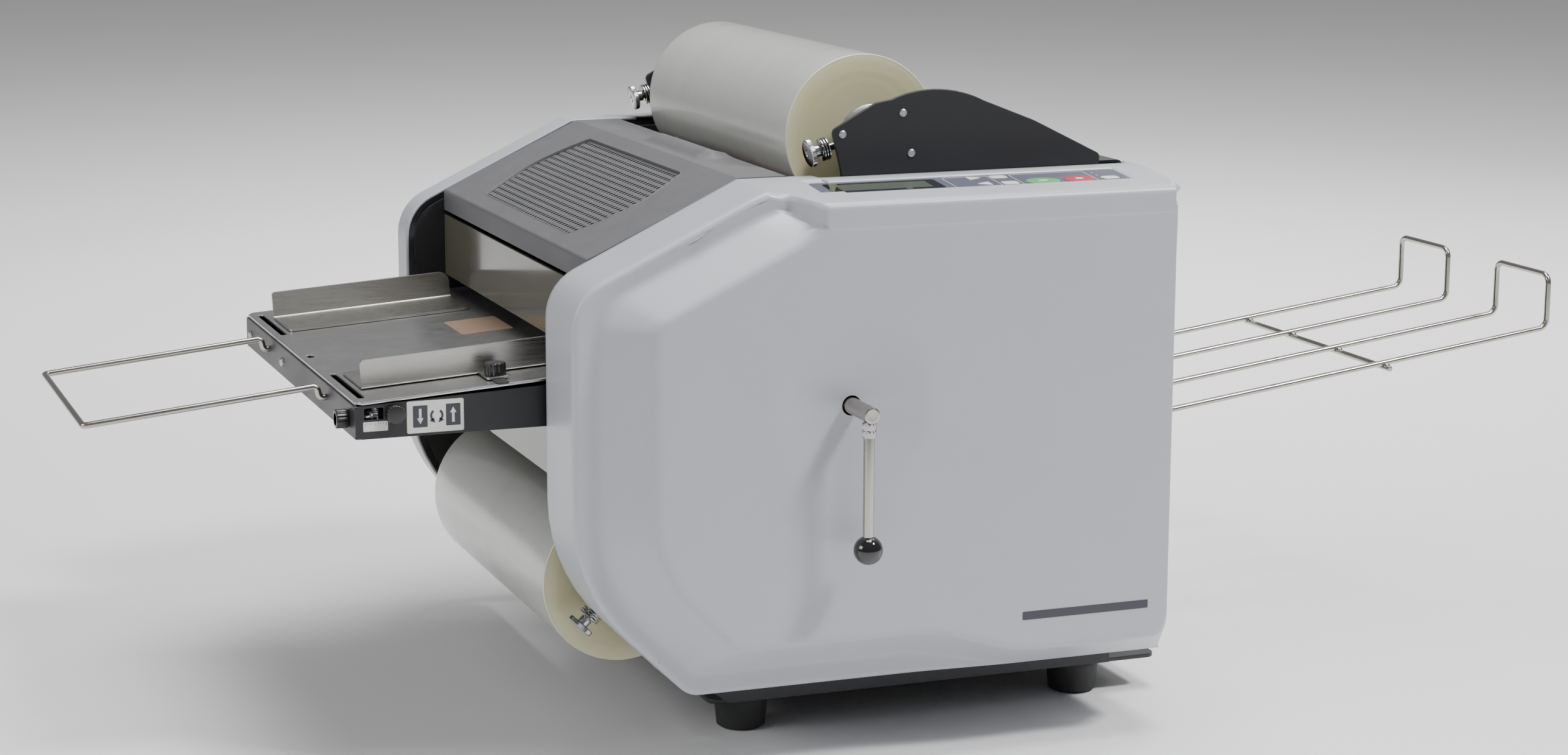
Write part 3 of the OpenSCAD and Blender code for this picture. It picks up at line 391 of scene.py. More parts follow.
# Painted shade: near-black colour laid where hollows lie only in shade, namely the grille's hole walls, the
# sheet under the grille and the finger pull's slot floor.
PAINTED_HOLLOW_SHADE = moulded("unlit inside", (0.008, 0.008, 0.009), 0.8, 300, 0.2, 0.2)
FILM_END = film_end("film roll end")
FILM_WRAP = film_wrap("film roll wrap")

NODE_MATERIALS = {
    "base_plate": BLACK_PAINT, "feet": BLACK_RUBBER, "side_plates": BLACK_PAINT, "tie_bars": PLAIN_STEEL,
    "left_cover": SILVER_PLASTIC, "right_cover": SILVER_PLASTIC, "panel_overlay": PANEL_FILM,
    "display_window": SCREEN_GLASS, "roll_brackets": BLACK_PAINT, "front_shields": SHIELD,
    "exit_panel": BLACK_PAINT, "feed_tray": BLACK_PAINT, "tray_deck": DECK_STEEL, "feed_pad": PAD_BROWN,
    "feed_wire_loop": WIRE_CHROME, "output_rack": WIRE_CHROME, "drive_motor": MOTOR_PAINT,
    "control_board": BOARD_GREEN, "mains_inlet": BLACK_GLOSS, "fasteners": PLAIN_STEEL,
    "brake_springs": KNOB_STEEL, "top_cover": LID_PLASTIC, "upper_film": FILM_WRAP, "lower_film": FILM_WRAP,
    "upper_core": CARDBOARD, "lower_core": CARDBOARD, "upper_mandrel": PLAIN_STEEL,
    "lower_mandrel": PLAIN_STEEL,
    "upper_nip_roller": RED_RUBBER, "lower_nip_roller": RED_RUBBER, "upper_nip_shaft": PLAIN_STEEL,
    "lower_nip_shaft": PLAIN_STEEL, "upper_nip_gear": GEAR_PLASTIC, "lower_nip_gear": GEAR_PLASTIC,
    "nip_blocks": PLAIN_STEEL, "upper_pull_roller": BLACK_RUBBER, "lower_pull_roller": BLACK_RUBBER,
    "motor_pinion": BRASS, "lever_shaft": LEVER_STEEL, "lever_rod": LEVER_STEEL, "lever_nuts": KNOB_STEEL,
    "lever_ball": BLACK_GLOSS, "right_upper_knob": KNOB_STEEL, "left_upper_knob": KNOB_STEEL,
    "right_lower_knob": KNOB_STEEL, "left_lower_knob": KNOB_STEEL, "left_guide": GUIDE_STEEL,
    "right_guide": GUIDE_STEEL, "guide_lock_knob": BLACK_GLOSS, "skew_knob": BLACK_GLOSS,
    "lift_knob": BLACK_GLOSS, "feed_roller": BLACK_RUBBER, "start_key": KEY_GREEN, "stop_key": KEY_RED,
    "up_key": KEY_WHITE, "down_key": KEY_WHITE, "mode_key": KEY_WHITE, "select_key": KEY_WHITE,
    "jog_key": KEY_WHITE, "power_rocker": BLACK_GLOSS,
}
for node_name, node_material in NODE_MATERIALS.items():
    node_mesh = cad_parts[node_name].data
    node_mesh.materials.clear()
    node_mesh.materials.append(node_material)

# ---------------------------------------------------------------- mesh helpers


def finish_mesh(name, verts, faces, materials, body, stands_for=(), slot=None, crease=38,
                face_materials=None):
    """Makes the object from machine-millimetre points, smooths it up to the crease angle and rides it."""
    mesh = bpy.data.meshes.new(name)
    mesh.from_pydata(place(verts).tolist(), [], faces)
    mesh.validate()
    materials = materials if isinstance(materials, (list, tuple)) else [materials]
    for material in materials:
        mesh.materials.append(material)
    if face_materials is not None:
        mesh.polygons.foreach_set("material_index", np.asarray(face_materials, np.int32))
    mesh.shade_smooth()
    mesh.set_sharp_from_angle(angle=math.radians(crease))
    piece = bpy.data.objects.new(name, mesh)
    bpy.context.scene.collection.objects.link(piece)
    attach(piece, body)
    if stands_for:
        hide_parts(*stands_for)
    return piece


def grid_faces(rows, cols, closed_cols=False, closed_rows=False, start=0, flip=False):
    """Quads of a rows by cols grid of points, row after row."""
    r = np.arange(rows if closed_rows else rows - 1)
    c = np.arange(cols if closed_cols else cols - 1)
    rr, cc = np.meshgrid(r, c, indexing="ij")
    r2, c2 = (rr + 1) % rows, (cc + 1) % cols
    quads = np.stack([rr * cols + cc, rr * cols + c2, r2 * cols + c2, r2 * cols + cc],
                     -1).reshape(-1, 4) + start
    return (quads[:, ::-1] if flip else quads).tolist()


class Gathered:
    """Collects several grids of points and faces into one mesh."""

    def __init__(self):
        self.verts, self.faces, self.kinds, self.count = [], [], [], 0

    def add(self, points, faces, kind=0):
        points = np.asarray(points, float).reshape(-1, 3)
        self.verts.append(points)
        self.faces += [[i + self.count for i in face] for face in faces]
        self.kinds += [kind] * len(faces)
        self.count += len(points)

    def grid(self, points, kind=0, flip=False, closed_cols=False, closed_rows=False):
        points = np.asarray(points, float)
        self.add(points, grid_faces(*points.shape[:2], closed_cols, closed_rows, 0, flip), kind)

    def make(self, name, materials, body, **options):
        return finish_mesh(
            name, np.concatenate(self.verts), self.faces, materials, body, face_materials=self.kinds,
            **options
        )


def smoothstep(value, low, high):
    t = np.clip((value - low) / (high - low), 0, 1)
    return t * t * (3 - 2 * t)


def soft_min(a, b, k):
    """Lesser of two heights with their crossing rounded over the width k."""
    h = np.clip(0.5 + 0.5 * (b - a) / k, 0, 1)
    return b + (a - b) * h - k * h * (1 - h)


def soft_max(a, b, k):
    return -soft_min(-a, -b, k)


def frame_along(axis):
    """Two unit vectors square to an axis, with the axis: rows of a rotation."""
    axis = np.asarray(axis, float) / np.linalg.norm(axis)
    helper = np.array([0.0, 0, 1]) if abs(axis[2]) < 0.9 else np.array([0.0, 1, 0])
    side = np.cross(helper, axis)
    side /= np.linalg.norm(side)
    return side, np.cross(axis, side), axis


def turned_points(profile, centre, axis, around, ripple=None):
    """A profile of (distance along, radius) carried round an axis; ripple(angle, row) adds to the radius."""
    side, up, axis = frame_along(axis)
    profile = np.asarray(profile, float)
    angle = np.arange(around) * 2 * np.pi / around
    radius = np.repeat(profile[:, 1:2], around, 1)
    if ripple is not None:
        radius = radius + ripple(angle[None, :], np.arange(len(profile))[:, None])
    ring = np.cos(angle)[:, None] * side + np.sin(angle)[:, None] * up
    return np.asarray(centre, float) + profile[:, 0][:, None, None] * axis + radius[:, :, None] * ring


def add_turned(mesh, profile, centre, axis, around=64, ripple=None, kind=0):
    """Turned solid closed at both ends by a face."""
    points = turned_points(profile, centre, axis, around, ripple)
    faces = grid_faces(len(profile), around, closed_cols=True)
    faces.append(list(range(around))[::-1])
    faces.append([(len(profile) - 1) * around + i for i in range(around)])
    mesh.add(points, faces, kind)


def rounded_profile(start, end, radius, edge, steps=4):
    """Profile of a disc or rod from start to end along the axis, its two rims rounded by edge."""
    t = np.linspace(0, np.pi / 2, steps + 1)
    first = np.stack([start + edge * (1 - np.cos(t)), radius - edge * (1 - np.sin(t))], -1)
    last = np.stack([end - edge * (1 - np.cos(t[::-1])), radius - edge * (1 - np.sin(t[::-1]))], -1)
    return np.concatenate([first, last])


def bent_path(corners, bend, steps=8):
    """Path through the corners, each inner corner replaced by an arc of radius bend."""
    corners = [np.asarray(c, float) for c in corners]
    points = [corners[0]]
    for a, b, c in zip(corners, corners[1:], corners[2:]):
        u, w = (a - b) / np.linalg.norm(a - b), (c - b) / np.linalg.norm(c - b)
        half = math.acos(float(np.clip(u @ w, -1, 1))) / 2
        middle = u + w
        centre = b + middle / np.linalg.norm(middle) * bend / math.sin(half)
        start, end = b + u * bend / math.tan(half) - centre, b + w * bend / math.tan(half) - centre
        sweep = math.pi - 2 * half
        for i in range(steps + 1):
            t = i / steps
            points.append(centre
                          + (start * math.sin(sweep * (1 - t)) + end * math.sin(sweep * t)) / math.sin(sweep))
    points.append(corners[-1])
    return np.array(points)


def tube_points(path, radius, around=16):
    """A circle carried along a path; its frame is moved on from point to point without twist."""
    path = np.asarray(path, float)
    steps = np.diff(path, axis=0)
    steps /= np.linalg.norm(steps, axis=1)[:, None]
    tangent = np.concatenate([steps[:1], steps[:-1] + steps[1:], steps[-1:]])
    tangent /= np.linalg.norm(tangent, axis=1)[:, None]
    side = frame_along(tangent[0])[0]
    angle = np.arange(around) * 2 * np.pi / around
    rings = []
    for point, along in zip(path, tangent):
        side = side - (side @ along) * along
        side /= np.linalg.norm(side)
        up = np.cross(along, side)
        rings.append(point + radius * (np.cos(angle)[:, None] * side + np.sin(angle)[:, None] * up))
    return np.array(rings)


def add_tube(mesh, path, radius, around=16, kind=0):
    points = tube_points(path, radius, around)
    faces = grid_faces(len(points), around, closed_cols=True)
    faces.append(list(range(around))[::-1])
    faces.append([(len(points) - 1) * around + i for i in range(around)])
    mesh.add(points, faces, kind)


def arc(centre, radius, first, last, count=10):
    """Points of an arc, its angles in degrees."""
    t = np.radians(np.linspace(first, last, count))
    return np.stack([centre[0] + radius * np.cos(t), centre[1] + radius * np.sin(t)], -1)


def rounded_outline(corners, radii, steps=6):
    """Closed outline through 2D corners, each rounded by its radius."""
    n = len(corners)
    radii = radii if hasattr(radii, "__len__") else [radii] * n
    out = []
    for i in range(n):
        a, b, c = corners[i - 1], corners[i], corners[(i + 1) % n]
        if radii[i] <= 0:
            out.append(np.array([b], float))
            continue
        out.append(bent_path([a, b, c], radii[i], steps)[1:-1])
    return np.concatenate(out)


def box_outline(x0, x1, y0, y1, radius, steps=6):
    return rounded_outline([(x0, y0), (x1, y0), (x1, y1), (x0, y1)], radius, steps)


def slot_outline(x0, x1, y0, y1, steps=8):
    """Slot with round ends, on the shorter side's half width."""
    return box_outline(x0, x1, y0, y1, min(x1 - x0, y1 - y0) / 2 - 0.001, steps)


def plate_mesh(outlines, thickness, edge):
    """Flat plate with holes: the first outline is its outside. Its rims are rounded by edge."""
    curve = bpy.data.curves.new("plate outline", "CURVE")
    curve.dimensions = "2D"
    curve.fill_mode = "BOTH"
    curve.extrude = max(thickness / 2 - edge, 1e-4)
    curve.bevel_depth = edge
    curve.bevel_resolution = 1
    curve.offset = -edge
    for outline in outlines:
        spline = curve.splines.new("POLY")
        spline.points.add(len(outline) - 1)
        spline.points.foreach_set("co", np.c_[outline, np.zeros(len(outline)), np.ones(len(outline))].ravel())
        spline.use_cyclic_u = True
    holder = bpy.data.objects.new("plate outline", curve)
    mesh = bpy.data.meshes.new_from_object(holder)
    points = np.zeros(len(mesh.vertices) * 3)
    mesh.vertices.foreach_get("co", points)
    faces = [list(p.vertices) for p in mesh.polygons]
    bpy.data.objects.remove(holder)
    bpy.data.curves.remove(curve)
    bpy.data.meshes.remove(mesh)
    return points.reshape(-1, 3), faces


def add_plate(mesh, outlines, thickness, origin, across, along, edge=0.3, kind=0):
    """Plate whose outline lies on the axes across and along at origin; it rises by its thickness."""
    across = np.asarray(across, float) / np.linalg.norm(across)
    along = np.asarray(along, float) / np.linalg.norm(along)
    points, faces = plate_mesh(outlines, thickness, min(edge, thickness / 2.2))
    points = points + [0, 0, thickness / 2]
    moved = np.asarray(origin, float) + points @ np.array([across, along, np.cross(across, along)])
    mesh.add(moved, faces, kind)


def add_section(mesh, section, x0, x1, kind=0):
    """Closed (y, z) section drawn out along x, with its two ends closed."""
    section = np.asarray(section, float)
    n = len(section)
    points = np.stack([np.c_[np.full(n, x), section] for x in (x0, x1)])
    faces = grid_faces(2, n, closed_cols=True)
    faces += [list(range(n))[::-1], [n + i for i in range(n)]]
    mesh.add(points, faces, kind)


def sheet_section(path, thickness):
    """Section of bent sheet: the outer path, then the same path moved in by the thickness."""
    path = np.asarray(path, float)
    steps = np.diff(path, axis=0)
    steps /= np.linalg.norm(steps, axis=1)[:, None]
    along = np.concatenate([steps[:1], steps[:-1] + steps[1:], steps[-1:]])
    along /= np.linalg.norm(along, axis=1)[:, None]
    inward = np.stack([along[:, 1], -along[:, 0]], -1)
    return np.concatenate([path, (path + inward * thickness)[::-1]])


def rot_x(angle):
    """Directions y and z turned about x by an angle in degrees."""
    a = math.radians(angle)
    return np.array([0, math.cos(a), math.sin(a)]), np.array([0, -math.sin(a), math.cos(a)])


# ---------------------------------------------------------------- side covers

CHAMFER_SUM = -85.0        # y + z along the lower front chamfer
SLOPE_Z = COVER_TOP - (VERTEX_Y - COVER_FRONT) * math.tan(SLOPE)
COVER_CORNERS = np.array([
    (COVER_REAR, COVER_BOTTOM),
    (CHAMFER_SUM - COVER_BOTTOM, COVER_BOTTOM),
    (COVER_FRONT, CHAMFER_SUM - COVER_FRONT),
    (COVER_FRONT, SLOPE_Z),
    (VERTEX_Y, COVER_TOP),
    (COVER_REAR, COVER_TOP),
])
RIM_RADII = np.array([3, 20, 130, 38, 8, 6.0])
BAND_INSET = np.array([17.5, 15, 16.5, 14.5, 12.5, 0.5])
FACE_INSET = np.array([41.5, 47, 52, 38.3, 25, 10.0])
FACE_RADII = np.array([14, 5, 100, 14, 9, 6.0])
ROUND = np.array([5, 5, 5, 5, 5, 0.4])      # rounding of the rim, edge by edge
SKIRT_FROM, SKIRT_TO = 22.0, 121.0          # where the body's lower edge sweeps down to the rim
HOUSING_FRONT, HOUSING_LEAN, HOUSING_Z = -67.0, 14.0, 372.0
TOP_STOPS = [-76, -72, -69, -66, -63, -60, -57, -54, -51, -48, -44, -42, -41, -40, -38, -34, -28, -24.6,
             -24, -20, -5, 15, 40, 65, 90, 115, 140, 165, 185, 198, 203, 205, 206, 207, 209, 215, 222, 225]
BOTTOM_STOPS = [224, 205, 180, 160, 140, 128, 120, 112, 104, 96, 88, 80, 72, 64, 56, 48, 40, 32, 24, 12,
                -10, -50, -90, -120]


def inset_corners(insets):
    """Cover corners with each edge moved inwards by its own distance."""
    nxt = np.roll(COVER_CORNERS, -1, 0)
    along = (nxt - COVER_CORNERS) / np.linalg.norm(nxt - COVER_CORNERS, axis=1)[:, None]
    base = COVER_CORNERS + np.asarray(insets)[:, None] * np.stack([along[:, 1], -along[:, 0]], -1)
    out = []
    for i in range(6):
        p, u, q, w = base[i - 1], along[i - 1], base[i], along[i]
        k = ((q - p)[0] * w[1] - (q - p)[1] * w[0]) / (u[0] * w[1] - u[1] * w[0])
        out.append(p + u * k)
    return np.array(out)


def cover_ring(insets, radii):
    """One closed ring of the cover: arcs at the six corners and chosen stops along the edges."""
    corners = inset_corners(insets)
    arcs = [
        bent_path([corners[i - 1], corners[i], corners[(i + 1) % 6]], max(radii[i], 0.3),
                  7)[1:-1] for i in range(6)
    ]
    out = []
    for i in range(6):
        start, end = arcs[i][-1], arcs[(i + 1) % 6][0]
        stops = {0: BOTTOM_STOPS, 4: TOP_STOPS}.get(i)
        if stops is None:
            share = np.linspace(0, 1, 12)[1:-1]
        else:
            share = (np.array(stops) - start[0]) / (end[0] - start[0])
            share = np.clip(share, 0.002 * np.arange(1, len(share) + 1),
                            1 - 0.002 * np.arange(len(share), 0, -1))
        out += [arcs[i], start + share[:, None] * (end - start)]
    return np.concatenate(out)


def build_cover(name, side, rim, face, housing, node, slot):
    """Moulded side cover. Rings run from the open inner edge out over the wall, the rounded rim, the flat
    band and the slope of the raised body to the face, and close in on the lever's hole. The height of each
    ring comes from its profile; the panel housing is a softly joined taller block, and the dish is a
    shallow ball sunk into the face."""
    centre = np.array([LEVER_Y, LEVER_Z])
    rise = face - rim
    rings = []

    def skirt(p, inset):
        """How far a ring's points move down where the lower edge sweeps to the rim."""
        share = smoothstep(p[:, 0], SKIRT_FROM, SKIRT_TO) * (1 - smoothstep(p[:, 1], 95, 190))
        left = np.interp(inset, [0, 5, 17.5, 41.5, 60], [0, 0.3, 0.5, 20, 38.5])
        return share * (inset - left), share

    def house(y, z):
        """Height of the panel housing: its front and rear walls lean in towards the face."""
        front = rim + rise * (y - HOUSING_FRONT) / HOUSING_LEAN
        rear = rim + rise * (COVER_REAR - 0.5 - y) / 9.5
        low = rim + rise * (z - HOUSING_Z) / 10
        return soft_min(soft_min(soft_min(np.full_like(y, face), front, 7), rear, 3), low, 4)

    def add_ring(p, x, inset):
        down, _ = skirt(p, inset)
        y, z = p[:, 0], p[:, 1] - down
        if housing:
            under = np.maximum(x - PANEL_START, 0) * math.tan(PANEL_TILT)
            z = z - under * smoothstep(p[:, 1], 398, 418) * smoothstep(y, -92, -70)
        rings.append(np.stack([x * np.ones_like(y), y, z], -1))

    def edge_x(p):
        """Where the outer wall ends: the rim, or the face along the housing."""
        if not housing:
            return np.full(len(p), rim)
        return np.maximum(house(p[:, 0], p[:, 1]), rim)

    outline = cover_ring(np.zeros(6), RIM_RADII)
    top = (outline[:, 1] > COVER_TOP - 0.5) & (outline[:, 0] > -24.3) & (outline[:, 0] < 228)
    inner = np.where(top, EAR_OUT + 1.2, PLATE_OUT + 0.4)
    _, swept = skirt(outline, 0.0)
    behind = smoothstep(outline[:, 0], 226, 236)
    small = 1 - np.maximum(swept, behind) * 0.92
    round_x = ROUND[0] * small
    wall_end = edge_x(outline) - round_x
    on_top = smoothstep(outline[:, 1], COVER_TOP - 3, COVER_TOP - 1) * smoothstep(outline[:, 0], -42, -40.5)
    on_top = on_top * (1 - smoothstep(outline[:, 0], 205, 206.5)) * (1 if housing else 0)
    for share in (0, 0.06, 0.14, 0.2, 0.225, 0.238, 0.25, 0.4, 0.55, 0.66, 0.675, 0.69, 0.72, 0.82, 0.92,
                  1.0):
        x = inner + (wall_end - inner) * share
        sunk = 1.3 * on_top * (1 if 0.23 < share < 0.685 else 0)
        add_ring(outline, x, 0.0)
        rings[-1][:, 2] -= sunk
    for angle in np.linspace(15, 90, 6):
        a = math.radians(angle)
        insets = ROUND * (1 - math.cos(a))
        p = cover_ring(insets, np.maximum(RIM_RADII - insets.max(), 0.6))
        add_ring(p, edge_x(outline) - round_x * (1 - math.sin(a)), insets[0])
    for s in np.concatenate([[-0.62, -0.4, -0.25, -0.16], np.linspace(-0.1, 1.12, 18), [1.2, 1.35]]):
        insets = BAND_INSET + (FACE_INSET - BAND_INSET) * s
        insets = np.maximum(insets, ROUND + 0.05)
        share = min(max(s, 0), 1)
        radii = RIM_RADII * (1 - share) + FACE_RADII * share
        p = cover_ring(insets, radii)
        body = soft_max(np.array(rim), soft_min(np.array(face), np.array(rim + rise * s), 4.5), 4.0)
        x = np.full(len(p), float(body))
        if housing:
            x = soft_max(x, house(p[:, 0], p[:, 1]), 2.0)
        add_ring(p, x, insets[0])
    last = rings[-1][:, 1:]
    outward = last - centre
    outward /= np.linalg.norm(outward, axis=1)[:, None]
    dish_ball = (DISH_R**2 + DISH_DEPTH**2) / (2 * DISH_DEPTH)
    ring_x = rings[-1][:, :1]

    def face_ring(p, share):
        x = ring_x[:, 0] * (1 - share) + face * share
        if housing:
            far = np.minimum(((p - centre) ** 2).sum(1), (dish_ball * 0.99) ** 2)
            sunk = face - DISH_DEPTH + dish_ball - np.sqrt(dish_ball**2 - far)
            x = soft_min(x, sunk, 1.6)
        rings.append(np.stack([x, p[:, 0], p[:, 1]], -1))

    for share in (0.12, 0.3, 0.5, 0.7, 0.88, 1.0):
        face_ring(last * (1 - share) + (centre + outward * 68) * share, min(share * 4, 1.0))
    for radius in (64, 62.5, 61.5, 60.5, 59.7, 59, 58, 56, 52, 46, 38, 30, 20, 12, 7.4):
        face_ring(centre + outward * radius, 1.0)
    if housing:
        rings.append(rings[-1] - [5, 0, 0])
    points = np.array(rings)
    points[:, :, 0] *= side
    faces = grid_faces(*points.shape[:2], closed_cols=True, flip=side > 0)
    if not housing:
        hub = [(len(rings) - 1) * points.shape[1] + i for i in range(points.shape[1])]
        faces.append(hub[::-1] if side > 0 else hub)
    piece = finish_mesh(
        name, points.reshape(-1, 3), faces, SILVER_PLASTIC, "machine", (node,), slot, crease=40
    )
    wall = piece.modifiers.new("wall", "SOLIDIFY")
    wall.thickness = 2.2 * MM
    wall.offset = -1
    return piece


right_cover = build_cover("right_cover_shell", 1, RIGHT_RIM, RIGHT_FACE, True, "right_cover", "cover_grey")
left_cover = build_cover("left_cover_shell", -1, LEFT_RIM, LEFT_FACE, False, "left_cover", "cover_grey")

# ---------------------------------------------------------------- top cover

LID_HALF = 200.4
LID_T = 2.0
LID_FRONT, LID_BOTTOM, LID_REAR = -197.0, 355.0, -40.0
FOLD = np.array([-196.6, 371.7])
RIDGE = np.array([-80.0, 426.0])
LID_ANGLE = math.degrees(math.atan2(RIDGE[1] - FOLD[1], RIDGE[0] - FOLD[0]))
SLOPE_LENGTH = float(np.linalg.norm(RIDGE - FOLD))
GRILLE_X, GRILLE_S = (-140.0, 132.0), (15.0, 114.0)
CELL_X, CELL_S = 6.3, 5.8


def grille_outline():
    """Straight front and rear edges, sides that bow outwards, corners rounded."""
    bow, inset = 17.0, 20.0
    s = np.linspace(GRILLE_S[0], GRILLE_S[1], 15)
    out = inset - bow * np.sin(np.pi * (s - s[0]) / (s[-1] - s[0]))
    right = np.stack([GRILLE_X[1] - out, s], -1)
    left = np.stack([GRILLE_X[0] + out, s], -1)[::-1]
    corners = np.concatenate([right, left])
    radii = np.zeros(len(corners))
    radii[[0, 14, 15, 29]] = 7
    return rounded_outline(list(corners), radii, 5)


def build_lid():
    """Bent sheet with a framed opening in its slope, and a perforated sheet set under the opening; the walls
    of its holes and a thin sheet below it are painted shade.
    """
    lid = Gathered()
    up, out = rot_x(LID_ANGLE)
    start = 6.0
    front = bent_path([(LID_FRONT, LID_BOTTOM), (LID_FRONT, FOLD[1]),
                       FOLD + (RIDGE - FOLD) * start / SLOPE_LENGTH], 3.0)
    add_section(lid, sheet_section(front, LID_T), -LID_HALF, LID_HALF)
    end = SLOPE_LENGTH - 7.0
    back = bent_path(
        [FOLD + (RIDGE - FOLD) * end / SLOPE_LENGTH, RIDGE, (LID_REAR, COVER_TOP),
         (LID_REAR, COVER_TOP - 10)], 3.0
    )
    add_section(lid, sheet_section(back, LID_T), -LID_HALF, LID_HALF)
    origin = np.array([0, *FOLD]) - out * LID_T
    frame_outline = box_outline(-LID_HALF, LID_HALF, start, end, 0.2, 1)
    add_plate(lid, [frame_outline, grille_outline()], LID_T, origin, (1, 0, 0), up, 0.05)
    rim = bent_ring(grille_outline(), origin + out * LID_T, up, out)
    lid.grid(rim, closed_rows=True)
    columns = int((GRILLE_X[1] - GRILLE_X[0]) / CELL_X) + 3
    rows = int((GRILLE_S[1] - GRILLE_S[0]) / CELL_S) + 2
    ii, jj = np.meshgrid(np.arange(rows), np.arange(columns), indexing="ij")
    middle = np.stack(
        [GRILLE_X[0] - 4 + (jj + 0.5 * (ii % 2)) * CELL_X, GRILLE_S[0] - 1 + (ii + 0.5) * CELL_S], -1
    ).reshape(-1, 2)
    third = np.array([-0.5, -1 / 6, 1 / 6, 0.5])
    square = np.concatenate([
        np.stack([third[:-1], np.full(3, -0.5)], -1), np.stack([np.full(3, 0.5), third[:-1]], -1),
        np.stack([-third[:-1], np.full(3, 0.5)], -1), np.stack([np.full(3, -0.5), -third[:-1]], -1),
    ]) * [CELL_X, CELL_S]
    angle = np.arctan2(square[:, 1], square[:, 0]) - math.radians(38)
    oval = np.stack([2.25 * np.cos(angle), 1.25 * np.sin(angle)], -1)
    c, s = math.cos(math.radians(38)), math.sin(math.radians(38))
    oval = oval @ np.array([[c, s], [-s, c]])
    depth = np.array([0.0, 0.0, -1.2])
    flat = np.stack([square, oval, oval])[None] + middle[:, None, None, :]
    across_sheet = flat[..., 0:1] * np.array([1.0, 0, 0])
    sheet = origin + across_sheet + flat[..., 1:2] * up + (depth[None, :, None, None]) * out
    first = 36 * np.arange(len(middle))[:, None, None]
    ring = np.array(grid_faces(2, 12, closed_cols=True))
    lid.add(sheet.reshape(-1, 3), (ring[None] + first).reshape(-1, 4).tolist())
    # Painted shade: the walls of each hole take the near-black hollow shade material.
    walls = (ring[None] + 12 + first).reshape(-1, 4).tolist()
    lid.add(sheet.reshape(-1, 3), walls, 1)
    # Painted shade: a thin near-black sheet under the grille stands for the dark space behind the holes.
    under = grille_outline() * [0.995, 1]
    add_plate(lid, [under], 0.4, origin - out * 2.2, (1, 0, 0), up, 0.05, 1)
    return lid


def bent_ring(outline, origin, up, out):
    """Rounded lip round an opening: it curls from the face down through the sheet."""
    nxt, before = np.roll(outline, -1, 0), np.roll(outline, 1, 0)
    along = nxt - before
    along /= np.linalg.norm(along, axis=1)[:, None]
    outward = np.stack([along[:, 1], -along[:, 0]], -1)
    rows = []
    for shift, down in ((1.4, -0.02), (1.0, 0.25), (0.4, 0.35), (-0.1, 0.15), (-0.3, -0.3), (-0.3, -2.1)):
        p = outline + outward * shift
        rows.append(origin + p[:, :1] * np.array([1.0, 0, 0]) + p[:, 1:] * up + out * down)
    return np.array(rows).transpose(1, 0, 2)


def finger_pull(lid):
    """Raised hood over x and y: a swell from the ridge to a crest, a slot whose floor is painted shade, and a
    lip.
    """
    y = np.array([-73, -71, -69, -66, -63, -60, -58, -56.5, -56, -55.8, -55.6, -54, -50, -47.4, -47.2, -47,
                  -46, -44, -42])
    h = np.array([0, 0.5, 1.8, 3.6, 4.9, 5.7, 5.9, 5.6, 4.6, 3.0, 1.2, 0.1, 0.1, 0.1, 0.8, 1.7, 1.9, 1.3, 0])
    x = np.concatenate([[-51, -49, -46, -42, -38, -37.5], np.linspace(-37, 77, 24),
                        [77.5, 78, 82, 86, 89, 91]])
    edge = np.interp(x, [-51, -42, -38, -37.4, 77.4, 78, 82, 91], [0, 0.85, 1, 1, 1, 1, 0.85, 0])
    open_slot = ((x > -37.6) & (x < 77.6)).astype(float)
    hood = np.interp(y, [-73, -58, -46, -42], [0, 5.9, 3.0, 0])
    height = open_slot[:, None] * h[None] + (1 - open_slot)[:, None] * hood[None]
    height = height * edge[:, None] + COVER_TOP + 0.02
    xx, yy = np.meshgrid(x, y, indexing="ij")
    before = len(lid.kinds)
    lid.grid(np.stack([xx, yy, height], -1))
    faces = np.arange(len(lid.kinds) - before)
    column, row = faces // (len(y) - 1), faces % (len(y) - 1)
    # Painted shade: the slot's floor, just above the lid, takes the near-black hollow shade material.
    inside = (column >= 5) & (column < len(x) - 8) & (row >= 8) & (row <= 13)
    lid.kinds[before:] = [int(k) for k in inside]


lid_mesh = build_lid()
finger_pull(lid_mesh)
lid_mesh.make("top_cover_shell", [LID_PLASTIC, PAINTED_HOLLOW_SHADE], "lid", stands_for=("top_cover",),
              slot="lid_grey", crease=35)

# ---------------------------------------------------------------- film rolls

FILM_HALF = 160.0
CORE_R = 15.0


def build_roll(name, y, z, radius, body, node):
    """Wound roll: the outside, then end faces whose layers stand a little proud or shy of each other."""
    layers = np.linspace(CORE_R, radius - 1.0, 22)
    offset = 0.04 * np.sin(layers * 5.1) + 0.03 * np.sin(layers * 2.3)
    end = np.stack([FILM_HALF - 0.4 + offset, layers], -1)
    rim = np.array([(FILM_HALF - 0.3, radius - 0.5), (FILM_HALF - 0.8, radius - 0.1),
                    (FILM_HALF - 2, radius)])
    half = np.concatenate([end, rim])
    middle = np.stack([np.linspace(120, -120, 9), np.full(9, radius)], -1)
    profile = np.concatenate([half, middle, (half * [-1, 1])[::-1]])
    roll = Gathered()
    points = turned_points(profile[::-1], (0, y, z), (1, 0, 0), 160)
    faces = grid_faces(len(profile), 160, closed_cols=True)
    roll.add(points, faces)
    on_end = np.repeat(np.abs(profile[::-1][:-1, 0] + profile[::-1][1:, 0]) / 2 > FILM_HALF - 1.0, 160)
    roll.kinds = [int(k) for k in on_end]
    piece = roll.make(name, [FILM_WRAP, FILM_END], body, stands_for=(node,), slot="film", crease=50)
    co = np.zeros(len(piece.data.vertices) * 3, np.float32)
    piece.data.vertices.foreach_get("co", co)
    away = (co.reshape(-1, 3) - place([0, y, z]))[:, 1:]
    piece.data.attributes.new("roll_radius", "FLOAT", "POINT").data.foreach_set(
        "value", np.linalg.norm(away, axis=1).astype(np.float32)
    )
    return piece


